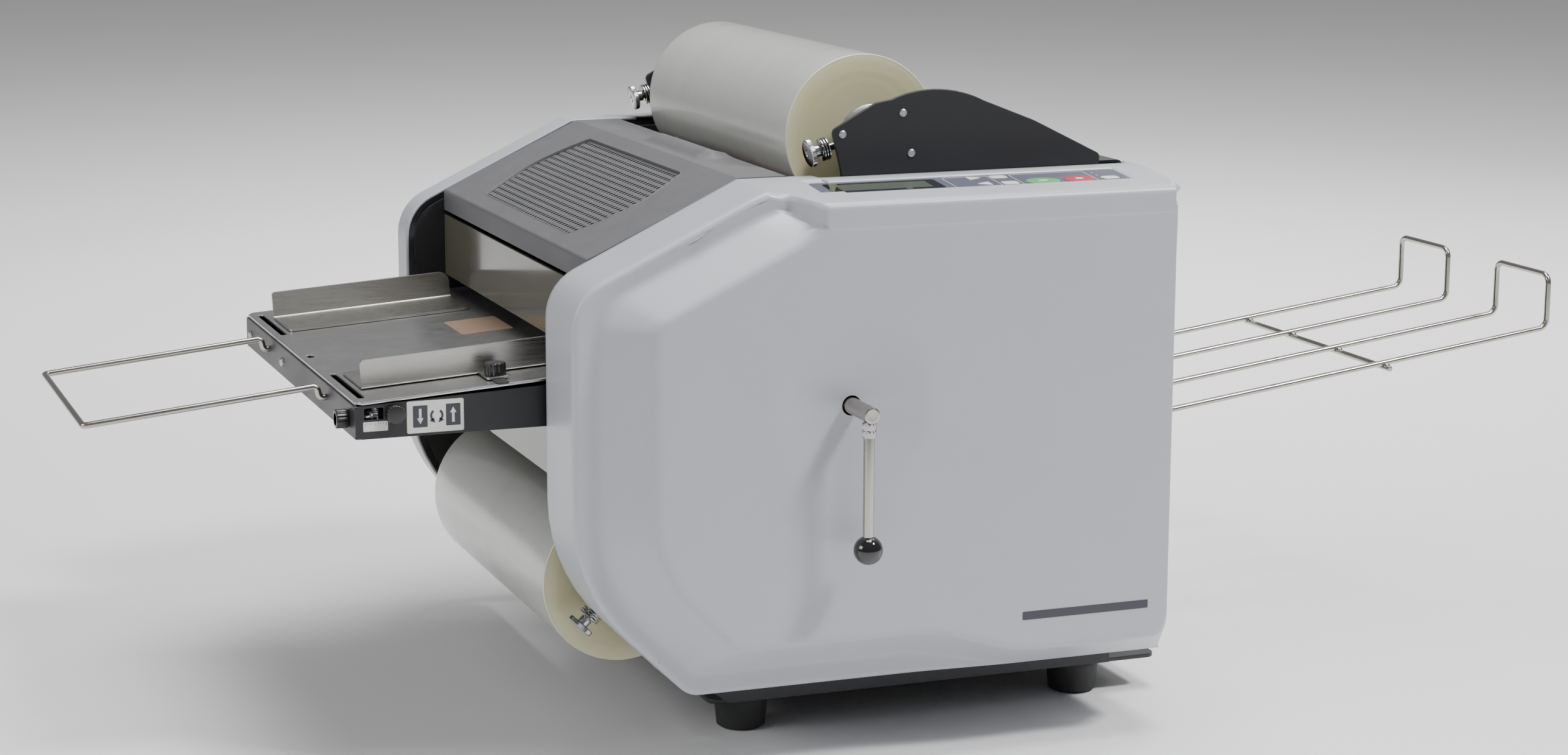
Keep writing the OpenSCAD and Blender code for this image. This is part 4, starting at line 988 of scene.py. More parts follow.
build_roll("upper_film_roll", 33.7, 448.5, 61.3, "upper_reel", "upper_film")
build_roll("lower_film_roll", -157.4, 119.8, 62.9, "lower_reel", "lower_film")


def build_core(name, y, z, body, node):
    """Cardboard tube with softened rims, open in the middle."""
    tube = Gathered()
    half = FILM_HALF + 2
    bore = CORE_R - 2.3
    profile = [(-half, bore + 0.2), (-half, CORE_R - 0.4), (-half + 0.4, CORE_R - 0.1),
               (half - 0.4, CORE_R - 0.1),
               (half, CORE_R - 0.4), (half, bore + 0.2), (half - 0.3, bore), (-half + 0.3, bore)]
    points = turned_points(profile, (0, y, z), (1, 0, 0), 96)
    tube.add(points, grid_faces(len(profile), 96, closed_cols=True, closed_rows=True))
    tube.make(name, CARDBOARD, body, stands_for=(node,), slot="cardboard")


build_core("upper_core_tube", 33.7, 448.5, "upper_reel", "upper_core")
build_core("lower_core_tube", -157.4, 119.8, "lower_reel", "lower_core")


def build_mandrel(name, y, z, reach, body, node):
    """Shaft with two chucks in the core and a grooved brake drum at each end."""
    shaft = Gathered()
    add_turned(shaft, rounded_profile(-195, 195, 10, 0.8), (0, y, z), (1, 0, 0), 48)
    add_turned(shaft, rounded_profile(-reach, reach, 6, 0.6), (0, y, z), (1, 0, 0), 40)
    for side in (-1, 1):
        axis = (side, 0, 0)
        add_turned(shaft, rounded_profile(146, 158, CORE_R - 2.35, 0.8), (0, y, z), axis, 72)
        drum = [(174, 24), (174.6, 24.8), (176.5, 25), (177, 24.2), (181, 24.2), (181.5, 25), (183.4, 24.8),
                (184, 24)]
        add_turned(shaft, drum, (0, y, z), axis, 96)
    shaft.make(name, PLAIN_STEEL, body, stands_for=(node,), slot="steel")


build_mandrel("upper_reel_shaft", 33.7, 448.5, 215, "upper_reel", "upper_mandrel")
build_mandrel("lower_reel_shaft", -157.4, 119.8, 204, "lower_reel", "lower_mandrel")

# ---------------------------------------------------------------- lever

LEVER_END = RIGHT_FACE + 32
HANG_X = LEVER_END - 6
LEVER_LEN = 99.0
BALL_R = 10.7


def hexagon(flats, limit):
    """Ripple that turns a circle of the limit radius into a hexagon, cut back to that circle at its ends."""
    def ripple(angle, row):
        wedge = np.abs((angle + np.pi / 6) % (np.pi / 3) - np.pi / 6)
        across = flats / 2 / np.cos(wedge)
        return np.where((row == 0) | (row >= 5), np.minimum(across, flats / 2 * 1.01),
                        np.minimum(across, limit)) - limit
    return ripple


def build_lever():
    hub = Gathered()
    end = [(LEVER_END - 0.9, 6.0), (LEVER_END - 0.35, 5.8), (LEVER_END - 0.05, 5.3), (LEVER_END, 4.6),
           (LEVER_END - 0.15, 3.0), (LEVER_END - 0.15, 1.0)]
    add_turned(hub, [(-205, 5.6), (-204.5, 6.0), *end], (0, LEVER_Y, LEVER_Z), (1, 0, 0), 64)
    for side in (-1, 1):
        add_turned(hub, rounded_profile(185, 195, 10, 0.4), (0, LEVER_Y, LEVER_Z - 3), (side, 0, 0), 64)
    hub.make("lever_hub", LEVER_STEEL, "lever", stands_for=("lever_shaft",), slot="steel")
    rod = Gathered()
    low = LEVER_Z - LEVER_LEN
    add_turned(rod, rounded_profile(0, LEVER_LEN - 5.5, 4.0, 0.3), (HANG_X, LEVER_Y, low), (0, 0, 1), 48)
    rod.make("lever_bar", LEVER_STEEL, "lever", stands_for=("lever_rod",), slot="chromed")
    nuts = Gathered()
    for i in (1, 2):
        base = LEVER_Z - 6 - i * 5.3
        rows = [(0, 5.75), (0.45, 5.75), (1.6, 5.75), (3.4, 5.75), (4.55, 5.75), (5.0, 5.75)]
        add_turned(nuts, rows, (HANG_X, LEVER_Y, base), (0, 0, 1), 72, hexagon(10.0, 5.75))
    nuts.make("lever_lock_nuts", KNOB_STEEL, "lever", stands_for=("lever_nuts",), slot="chromed", crease=25)
    ball = Gathered()
    t = np.linspace(-np.pi / 2 + 0.02, math.acos(4.6 / BALL_R), 40)
    profile = np.stack([BALL_R * np.sin(t), BALL_R * np.cos(t)], -1)
    add_turned(ball, profile, (HANG_X, LEVER_Y, low), (0, 0, 1), 72)
    ball.make("lever_ball_knob", BLACK_GLOSS, "lever", stands_for=("lever_ball",), slot="black_plastic",
              crease=60)


build_lever()

# ---------------------------------------------------------------- wires

WIRE_R = 2.4
TRAY_FRONT = -368.6
LOOP_END = TRAY_FRONT - 178.5
RACK_ROOT, RACK_END, RACK_ROOT_Z = COVER_REAR - 15, 683.7, 193.3
RACK_RISE = math.tan(math.radians(7.35))
RACK_LIP = 45.0
RACK_X = [-114, -38.3, 38.3, 114]


def build_wires():
    loop = Gathered()
    half = [(102.2, TRAY_FRONT + 6, 264), (102.2, TRAY_FRONT - 5, 264), (102.2, TRAY_FRONT - 7, 272.5),
            (102.2, LOOP_END, 255.3)]
    other = [(-x, y, z) for x, y, z in half[::-1]]
    add_tube(loop, bent_path(half + other, 3.5, 10), WIRE_R, 20)
    loop.make("feed_wire", WIRE_CHROME, "machine", stands_for=("feed_wire_loop",), slot="chromed", crease=60)
    rack = Gathered()
    tip = RACK_ROOT_Z + (RACK_END - RACK_ROOT) * RACK_RISE
    for x0, x1 in ((RACK_X[0], RACK_X[1]), (RACK_X[2], RACK_X[3])):
        corners = [(x0, RACK_ROOT, RACK_ROOT_Z), (x0, RACK_END, tip), (x0, RACK_END, tip + RACK_LIP)]
        add_tube(rack, bent_path(corners + [(x1, y, z) for _, y, z in corners[::-1]], 8, 12), WIRE_R, 20)
    cross_y = RACK_END - 156
    cross_z = RACK_ROOT_Z + (cross_y - RACK_ROOT) * RACK_RISE - 2 * WIRE_R + 0.5
    cross = rounded_profile(RACK_X[0] - 7, RACK_X[3] + 7, WIRE_R, 0.6)
    add_turned(rack, cross, (0, cross_y, cross_z), (1, 0, 0), 20)
    for x in RACK_X:
        bead = [(-2.6, 0.4), (-1.8, 1.5), (0, 2.1), (1.8, 1.5), (2.6, 0.4)]
        for s in (-1, 1):
            add_turned(rack, bead, (x + s * 2.2, cross_y, cross_z + WIRE_R - 0.4), (0, 1, 0), 12)
    rack.make("output_wires", WIRE_CHROME, "machine", stands_for=("output_rack",), slot="chromed", crease=60)


build_wires()

# ---------------------------------------------------------------- feed tray

DECK_Y0, DECK_Z0 = -364.6, 277.5
DECK_TILT = 3.65
TRAY_HALF, TRAY_BACK, TRAY_BOTTOM = 196.0, -150.0, 250.5


def deck(x, y, height=0.0):
    """Point over the sloping deck, by its height above the deck's top face."""
    along, out = rot_x(DECK_TILT)
    s = (y - DECK_Y0) / along[1]
    return np.array([x, 0, 0]) + np.array([0, DECK_Y0, DECK_Z0]) + along * s + out * height


def deck_outline(points):
    """Machine (x, y) outline laid in the deck's own plane."""
    points = np.asarray(points, float)
    return np.c_[points[:, 0], (points[:, 1] - DECK_Y0) / math.cos(math.radians(DECK_TILT))]


def tray_top(y):
    """Height of the tray's side walls, which rise towards the rollers."""
    return 274.5 + (y - TRAY_FRONT) * 0.048


LABEL_AT, LABEL_T = (-309, 264.6), 0.12     # middle in (y, z) and thickness of the label on the tray's side
WINDOW_X, SCREW_Y = 190.5, -359             # spring and screw behind the tray's side window


def build_tray():
    """Folded black tray: front wall, two sides with the window cut in the right one, a bottom, its
    adjusting screw and spring behind the window, and the printed labels."""
    tray = Gathered()
    side_shape = [(TRAY_FRONT, TRAY_BOTTOM), (TRAY_BACK, TRAY_BOTTOM), (TRAY_BACK, tray_top(TRAY_BACK)),
                  (TRAY_FRONT, tray_top(TRAY_FRONT))]
    side = rounded_outline(side_shape, [5, 1, 1, 3], 5)
    window = box_outline(-362, -348, 264.5, 273, 1.2, 4)
    add_plate(tray, [side, window], 2, (TRAY_HALF - 2, 0, 0), Y, Z, 0.5)
    add_plate(tray, [side], 2, (-TRAY_HALF, 0, 0), Y, Z, 0.5)
    front = box_outline(-TRAY_HALF + 1, TRAY_HALF - 1, TRAY_BOTTOM, tray_top(TRAY_FRONT), 1.0, 3)
    add_plate(tray, [front], 2, (0, TRAY_FRONT + 2, 0), X, Z, 0.5)
    bottom = box_outline(-TRAY_HALF + 1, TRAY_HALF - 1, TRAY_FRONT + 1, TRAY_BACK, 1.0, 3)
    add_plate(tray, [bottom], 2, (0, 0, TRAY_BOTTOM), X, Y, 0.4)
    for x in (-179, -54):
        head = [(0, 3.6), (0.9, 3.5), (1.6, 2.9), (1.9, 1.8), (1.6, 1.4), (1.2, 1.2)]
        add_turned(tray, head, (x, TRAY_FRONT, 262), (0, -1, 0), 24, kind=1)
    turns = np.linspace(0, 2 * np.pi * 6, 150)
    coil = np.stack([WINDOW_X + 2.6 * np.cos(turns), -352.5 + 2.6 * np.sin(turns), 264.8 + turns * 0.2], -1)
    add_tube(tray, coil, 0.45, 8, 1)
    screw = [(0, 3.4), (1.0, 3.4), (1.4, 3.0), (1.4, 1.2)]
    add_turned(tray, screw, (WINDOW_X, SCREW_Y, 266), Z, 28, kind=1)
    # Painted shade: a thin dark strip laid on the screw's head stands for its slot.
    add_plate(tray, [box_outline(-3.2, 3.2, -0.4, 0.4, 0.1, 1)], 0.3, (WINDOW_X, SCREW_Y, 267.35),
              (1, 0.5, 0),
              (-0.5, 1, 0), 0.05, 2)
    label = box_outline(-331, -289, 252.5, 276, 1.2, 4)
    add_plate(tray, [label], LABEL_T, (TRAY_HALF, 0, 0), Y, Z, 0.03, 3)
    face = TRAY_HALF + LABEL_T
    on_label = ((face, 0, 0), Y, Z, 0.01, 2)
    for centre, size in ((-321.2, -5.6), (-296.8, 5.6)):
        square = box_outline(centre - 5.4, centre + 5.4, 256.6, 272.6, 0.5, 2)
        add_plate(tray, [square], 0.05, *on_label)
        add_plate(tray, [arrow_outline(centre, LABEL_AT[1], size)], 0.04, (face + 0.05, 0, 0), Y, Z, 0.01, 3)
    for side in (-1, 1):
        first, last = (-50, 55) if side > 0 else (125, 230)
        outer, inner = arc(LABEL_AT, 5.0, first, last, 12), arc(LABEL_AT, 3.3, last, first, 12)
        add_plate(tray, [np.concatenate([outer, inner])], 0.05, *on_label)
        tip = np.array([(side * 1.2, -5.4), (side * 5.6, -3.6), (side * 2.0, -1.6)])[::side] + LABEL_AT
        add_plate(tray, [tip], 0.05, *on_label)
    add_plate(tray, [box_outline(-363, -345, 256.2, 263.2, 0.6, 3)], LABEL_T, (TRAY_HALF, 0, 0), Y, Z, 0.03,
              3)
    for i in range(9):
        y = -361.5 + i * 1.9
        tall = 2.6 if i % 4 == 0 else 1.5
        add_plate(tray, [box_outline(y - 0.16, y + 0.16, 262.6 - tall, 262.6, 0.05, 1)], 0.05, *on_label)
    tray.make("feed_tray_shell", [BLACK_PAINT, PLAIN_STEEL, LABEL_DARK, LABEL_WHITE], "machine",
              stands_for=("feed_tray",), slot="powder_black")


def arrow_outline(y, z, size):
    """Arrow that points up, or down where its size is negative."""
    shape = np.array([(0, 1.0), (-0.42, 0.25), (-0.17, 0.25), (-0.17, -1.0), (0.17, -1.0), (0.17, 0.25),
                      (0.42, 0.25)])
    return shape * size + [y, z]


def build_deck():
    """Brushed deck plate with its two wire slots and the guide's locking slot, bent down at the front."""
    plate = Gathered()
    along = rot_x(DECK_TILT)[0]
    outline = deck_outline(rounded_outline(
        [(-TRAY_HALF, TRAY_FRONT + 2.2), (TRAY_HALF, TRAY_FRONT + 2.2), (TRAY_HALF, TRAY_BACK - 2),
         (-TRAY_HALF, TRAY_BACK - 2)],
        [5, 5, 1, 1], 5))
    holes = [deck_outline(slot_outline(x0, x1, -362.4, -357.6)) for x0, x1 in ((-181, -85), (85, 181))]
    holes.append(deck_outline(slot_outline(100, 190, -260.2, -255.8)))
    holes.append(deck_outline(box_outline(5.5, 16.5, TRAY_FRONT + 6, TRAY_FRONT + 11, 1.5, 4)))
    add_plate(plate, [outline, *holes], 2, deck(0, DECK_Y0, -2), X, along, 0.45)
    lip = [(TRAY_FRONT + 0.6, 277.0), (TRAY_FRONT + 2.4, 277.3), (TRAY_FRONT + 2.4, 275.3),
           (TRAY_FRONT + 1.2, 274.6)]
    add_section(plate, lip, -TRAY_HALF + 5, TRAY_HALF - 5)
    plate.make("deck_plate", DECK_STEEL, "machine", stands_for=("tray_deck",), slot="steel")
    insert = Gathered()
    shape = deck_outline(box_outline(170, 197, -263.5, -254.5, 2.5, 4))
    add_plate(insert, [shape], 0.9, deck(0, DECK_Y0, 0.05), X, along, 0.3)
    insert.make("guide_lock_seat", BLACK_PAINT, "machine", slot="powder_black")
    pad = Gathered()
    shape = deck_outline(box_outline(-29 - 24, 29 - 24, -238, -196, 3, 5))
    add_plate(pad, [shape], 0.3, deck(0, DECK_Y0, 0.02), X, along, 0.4)
    pad.make("friction_pad", PAD_BROWN, "machine", stands_for=("feed_pad",), slot="pad_brown")


def build_guide(name, side, node):
    """Bent sheet guide: an upright wall with rounded corners, a bend of 1.5 mm, and a flange on the deck."""
    guide = Gathered()
    along, out = rot_x(DECK_TILT)
    y0, y1, gap = -354.0, -205.0, 0.4
    wall_x = 156.0
    wall = rounded_outline([(y0, 2.4), (y1, 2.4), (y1, 22.5), (y0, 22.5)], [0, 0, 9, 3], 6)
    wall[:, 0] = (wall[:, 0] - DECK_Y0) / along[1]
    thick = 1.5
    base = deck(0, DECK_Y0, 0)
    wall_start = wall_x - thick if side > 0 else -wall_x
    add_plate(guide, [wall], thick, base + [wall_start, 0, 0], along, out, 0.35)
    s0, s1 = (y0 - DECK_Y0) / along[1], (y1 - DECK_Y0) / along[1]
    outer = arc((wall_x - 2.4, 2.4 + gap), 2.4, 0, -90, 8)
    inner = arc((wall_x - 2.4, 2.4 + gap), 0.9, -90, 0, 8)
    bend = np.concatenate([outer, inner])
    rows = []
    for s in (s0, s1):
        rows.append([base + along * s + np.array([side * x, 0, 0]) + out * h for x, h in bend])
    rows = np.array(rows)
    flip = side < 0
    guide.grid(rows, closed_cols=True, flip=flip)
    first = list(range(len(bend)))
    guide.add(rows[0], [first if flip else first[::-1]])
    guide.add(rows[1], [first[::-1] if flip else first])
    bend_x, edge_x = side * (wall_x - 2.4), side * (wall_x - 64)
    corners = [(bend_x, y0), (bend_x, y1), (edge_x, y1), (edge_x, y0)][::side]
    flange = deck_outline(rounded_outline(corners, [0, 0, 4, 4] if side > 0 else [4, 4, 0, 0], 5))
    add_plate(guide, [flange], thick, deck(0, DECK_Y0, gap), X, along, 0.35)
    if side > 0:
        foot = deck_outline(box_outline(wall_x - 1, wall_x + 26, -267, -249, 3, 5))
        add_plate(guide, [foot], thick, deck(0, DECK_Y0, gap + 0.6), X, along, 0.35)
    guide.make(name, GUIDE_STEEL, "right_sheet_guide" if side > 0 else "left_sheet_guide",
               stands_for=(node,), slot="steel")


def lobes(count, depth):
    """Grip flutes round a knob: the radius dips by depth between the lobes on the middle rows."""
    def ripple(angle, row):
        wave = 0.5 - 0.5 * np.cos(angle * count)
        return np.where((row >= 2) & (row <= 7), -depth * (1 - wave) ** 2, 0)
    return ripple


LOCK_AT, LOCK_TURN = (172, -258), 0.6
SKEW_AT = (172, TRAY_FRONT, 262)
LIFT_AT = (TRAY_HALF, -340, 268)


def build_tray_knobs():
    """Black knobs: the guide's lock on the deck, the skew knob at the front and the lift knob at the side."""
    out = rot_x(DECK_TILT)[1]
    foot = deck(*LOCK_AT, 2.3)
    lock = Gathered()
    add_turned(lock, rounded_profile(0, 9, 8, 1.2), foot, out, 60, lobes(12, 0.7))
    wing = box_outline(-2.2, 2.2, -7.9, 7.9, 2, 4)
    cos, sin = math.cos(LOCK_TURN), math.sin(LOCK_TURN)
    add_plate(lock, [wing], 3.2, foot + out * 6.0, (cos, sin, 0), (-sin, cos, 0), 0.9)
    lock.make("guide_lock", BLACK_PLASTIC, "guide_lock", stands_for=("guide_lock_knob",),
              slot="black_plastic")
    skew = Gathered()
    add_turned(skew, rounded_profile(0.4, 9.4, 7, 1.0), SKEW_AT, (0, -1, 0), 60, lobes(18, 0.5))
    add_turned(skew, [(9.4, 4.6), (9.1, 4.2), (8.9, 0.6)], SKEW_AT, (0, -1, 0), 36)
    skew.make("skew_adjuster_knob", BLACK_PLASTIC, "skew_adjuster", stands_for=("skew_knob",),
              slot="black_plastic")
    lift = Gathered()
    add_turned(lift, rounded_profile(0.4, 6.4, 7, 1.0), LIFT_AT, X, 60, lobes(18, 0.5))
    lift.make("lift_adjuster_knob", BLACK_PLASTIC, "lift_adjuster", stands_for=("lift_knob",),
              slot="black_plastic")


build_tray()
build_deck()
build_guide("right_sheet_guide_bent", 1, "right_guide")
build_guide("left_sheet_guide_bent", -1, "left_guide")
build_tray_knobs()

# ---------------------------------------------------------------- reel brackets and brake knobs

EAR_CORNERS = [(-5, 398), (-5.3, 428.5), (-13, 460), (22, 479)]
EAR_TAIL = [(150, 461.5), (205, 434), (205, 398)]


def build_brackets():
    """Black plates that hold the upper reel: a steep front edge, a round back over the roll and a tail."""
    plates = Gathered()
    front = rounded_outline(EAR_CORNERS + [(60, 487), (60, 398)], [0, 8, 5, 6, 0, 0], 6)[:-2]
    crown = arc((68, 397.5), 90, 112, 63, 14)
    tail = rounded_outline([crown[-1], *EAR_TAIL], [0, 60, 4, 0], 8)[1:]
    outline = np.concatenate([front, crown, tail])[::-1]
    for side in (-1, 1):
        x = EAR_IN if side > 0 else -EAR_OUT
        add_plate(plates, [outline], EAR_OUT - EAR_IN, (x, 0, 0), Y, Z, 0.6)
        for y, z in ((-5, 457), (43, 471), (50, 441)):
            head = [(0, 2.9), (0.2, 2.9), (0.8, 2.5), (1.1, 1.6), (1.1, 1.2), (0.4, 0.9), (0.4, 0.3)]
            add_turned(plates, head, (side * EAR_OUT, y, z), (side, 0, 0), 28, kind=1)
    plates.make("reel_bracket_plates", [BLACK_PAINT, BLACK_SCREW], "machine", stands_for=("roll_brackets",),
                slot="powder_black")


def knurl(count, depth, rows):
    """Fine straight knurling on the given rows of a turned profile."""
    def ripple(angle, row):
        return np.where((row >= rows[0]) & (row <= rows[1]), depth * np.sin(angle * count), 0)
    return ripple


BRAKES = {"upper": (206, -12.6, 446, 104), "lower": (190, -191, 106, 135)}   # x, y, z and tilt


def brake_place(side, level):
    """Centre of a reel brake and the direction of its screw."""
    x, y, z, tilt = BRAKES[level]
    a = math.radians(tilt)
    return np.array([side * x, y, z]), np.array([0, -math.sin(a), math.cos(a)])


def build_brake_knob(side, level):
    """Turned knob on a stack of thin washers, its rim knurled."""
    knob = Gathered()
    centre, axis = brake_place(side, level)
    add_turned(knob, [(-7, 2.8), (-6.6, 3.0), (6.8, 3.0)], centre, axis, 28)
    add_turned(knob, rounded_profile(6.5, 12.5, 4.5, 0.4), centre, axis, 40)
    rim = [(12, 9.3), (12.3, 9.9), (12.6, 10.1), (15.3, 10.1), (15.7, 9.8), (16, 9.2), (16, 3.2),
           (15.5, 2.8), (15.5, 0.6)]
    add_turned(knob, rim, centre, axis, 216, knurl(54, 0.13, (1, 4)))
    brake = ("left_" if side < 0 else "right_") + level
    knob.make(f"{brake}_brake_knob", KNOB_STEEL, f"{brake}_brake", stands_for=(f"{brake}_knob",),
              slot="steel", crease=30)


def build_brake_washers():
    """Thin brake washers and their springs, on the four reel brakes."""
    stack = Gathered()
    for side in (-1, 1):
        for level in BRAKES:
            centre, axis = brake_place(side, level)
            for i in range(3):
                rim = [(0.4 + 2 * i, 8.3), (0.55 + 2 * i, 8.6), (1.25 + 2 * i, 8.6), (1.4 + 2 * i, 8.3)]
                add_turned(stack, rim, centre, axis, 56)
            turns = np.linspace(0, 2 * np.pi * 3, 60)
            lift = 1.5 + turns * 0.22
            u, v, _ = frame_along(axis)
            coil = centre + np.outer(lift, axis)
            coil = coil + np.outer(np.cos(turns) * 5.6, u) + np.outer(np.sin(turns) * 5.6, v)
            add_tube(stack, coil, 0.4, 8)
    stack.make("brake_washers", KNOB_STEEL, "machine", stands_for=("brake_springs",), slot="steel")


build_brackets()
for brake_side in (-1, 1):
    for brake_level in BRAKES:
        build_brake_knob(brake_side, brake_level)
build_brake_washers()

# ---------------------------------------------------------------- control panel

PANEL_Y = 82.5
PANEL_ACROSS = np.array([math.cos(PANEL_TILT), 0, -math.sin(PANEL_TILT)])
PANEL_OUT = np.array([math.sin(PANEL_TILT), 0, math.cos(PANEL_TILT)])
PANEL_BASE = np.array([PANEL_START, PANEL_Y, COVER_TOP]) + PANEL_ACROSS * 23


def add_panel_plate(mesh, outlines, bottom, thickness, kind=0, edge=0.15):
    """Plate on the panel: its outline in (across, feed direction) round the panel's middle."""
    add_plate(mesh, outlines, thickness, PANEL_BASE + PANEL_OUT * bottom, PANEL_ACROSS, (0, 1, 0), edge, kind)


def build_panel():
    """Printed film with a framed display window and thin outlines round the key groups."""
    film = Gathered()
    add_panel_plate(film, [box_outline(-19, 19, -122.5, 122.5, 3, 6)], -1.25, 0.35)
    for x0, x1, y0, y1 in ((-15.5, 15.5, 35, 96), (-15.5, 15.5, -19, 18)):
        outer = box_outline(x0, x1, y0, y1, 3, 5)
        inner = box_outline(x0 + 0.5, x1 - 0.5, y0 + 0.5, y1 - 0.5, 2.6, 5)
        add_panel_plate(film, [outer, inner], -0.9, 0.06, 1, 0.01)
    for x in (-9, -1, 7):
        add_panel_plate(film, [box_outline(x - 1.2, x + 1.2, 101, 101.6, 0.2, 2)], -0.9, 0.06, 1, 0.01)
    film.make("panel_film_sheet", [PANEL_FILM, KEY_WHITE], "machine", stands_for=("panel_overlay",),
              slot="panel_film")
    glass = Gathered()
    add_panel_plate(glass, [box_outline(-13, 13, -114.5, -26.5, 2, 5)], -0.92, 0.3, 0, 0.08)
    add_panel_plate(glass, [box_outline(-9, 9, -106, -35, 1, 4)], -0.62, 0.03, 1, 0.01)
    glass.make("display_glass", [SCREEN_GLASS, SCREEN_CELLS], "machine", stands_for=("display_window",),
               slot="display_glass")


# place across and along the panel, form, width, length and material of each key
KEYS = {
    "start": (8, 53, "oval", 18, 27, KEY_GREEN),
    "stop": (7, 83, "oval", 17, 25, KEY_RED),
    "up": (-10, 6, "arrow", 11, 12, KEY_WHITE),
    "down": (8, 5, "arrow", 11, 12, KEY_WHITE),
    "mode": (-10, 25, "box", 9, 13, KEY_WHITE),
    "select": (9, 26, "box", 9, 13, KEY_WHITE),
    "jog": (8, 108, "box", 9, 13, KEY_WHITE),
}
KEY_BARS = {"start": (1.6, 7.0), "stop": (2.2, 6.0)}    # half width and length of a key's white bar
KEY_SLOTS = {"start": "key_green", "stop": "key_red"}
# share of the outline and height of each ring of a dome
DOME_RINGS = ((1, -0.7), (1, -0.66), (0.97, -0.54), (0.9, -0.47), (0.7, -0.43), (0.35, -0.41))


def build_keys():
    """Domed membrane keys: an outline, then a lower ring and a crown above it."""
    for key, (x, y, form, wide, tall, material) in KEYS.items():
        mesh = Gathered()
        if form == "oval":
            t = np.linspace(0, 2 * np.pi, 49)[:-1]
            shape = np.stack([np.cos(t) * wide / 2, np.sin(t) * tall / 2], -1)
        elif form == "box":
            shape = box_outline(-wide / 2, wide / 2, -tall / 2, tall / 2, 2.5, 6)
        else:
            tip = tall / 2 if key == "up" else -tall / 2
            corners = [(-wide / 2, -tip), (wide / 2, -tip), (0, tip)]
            shape = rounded_outline(corners if tip > 0 else corners[::-1], 1.2, 5)
        rows = []
        for scale, height in DOME_RINGS:
            p = shape * scale + [x, y]
            rows.append(PANEL_BASE + p[:, :1] * PANEL_ACROSS + p[:, 1:] * np.array([0, 1.0, 0])
                        + PANEL_OUT * height)
        rows = np.array(rows)
        mesh.add(rows, grid_faces(*rows.shape[:2], closed_cols=True) + [
            [(len(rows) - 1) * rows.shape[1] + i for i in range(rows.shape[1])],
            list(range(rows.shape[1]))[::-1]])
        if key in KEY_BARS:
            bar = KEY_BARS[key]
            mark = box_outline(x - bar[0], x + bar[0], y - bar[1] / 2, y + bar[1] / 2, 0.6, 3)
            add_panel_plate(mesh, [mark], -0.43, 0.05, 1, 0.01)
        mesh.make(f"{key}_key_dome", [material, KEY_WHITE], key, stands_for=(f"{key}_key",),
                  slot=KEY_SLOTS.get(key, "key_white"))


build_panel()
build_keys()

# ---------------------------------------------------------------- shields, base, feet and rear


def build_shields():
    """Smoked sheets before the rollers, their long edges softened."""
    sheets = Gathered()
    for y, z0, z1 in ((-194, 300, 351.5), (-200, 196, 248.5)):
        outline = box_outline(-LID_HALF, LID_HALF, z0, z1, 0.6, 3)
        add_plate(sheets, [outline], 3, (0, y, 0), X, Z, 0.5)
    sheets.make("front_shield_sheets", SHIELD, "machine", stands_for=("front_shields",), slot="smoked_sheet")


FOOT_X, FOOT_YS, FOOT_H = 171.6, (-67.5, 213.6), 25
FOOT_PROFILE = [(0.0, 14.8), (0.15, 16.0), (0.8, 16.9), (2, 18.6), (8, 19.2), (16, 20.1), (22, 20.8),
                (24.2, 21), (FOOT_H, 20.6)]


def build_base():
    """Base sheet on its four rubber feet."""
    base = Gathered()
    add_plate(base, [box_outline(-193, 193, -100, 277, 8, 8)], 3.5, (0, 0, FOOT_H), X, Y, 0.5)
    base.make("base_sheet", BLACK_PAINT, "machine", stands_for=("base_plate",), slot="powder_black")
    feet = Gathered()
    for x in (-FOOT_X, FOOT_X):
        for y in FOOT_YS:
            add_turned(feet, FOOT_PROFILE, (x, y, 0), Z, 72)
    feet.make("rubber_feet", BLACK_RUBBER, "machine", stands_for=("feet",), slot="rubber_black")


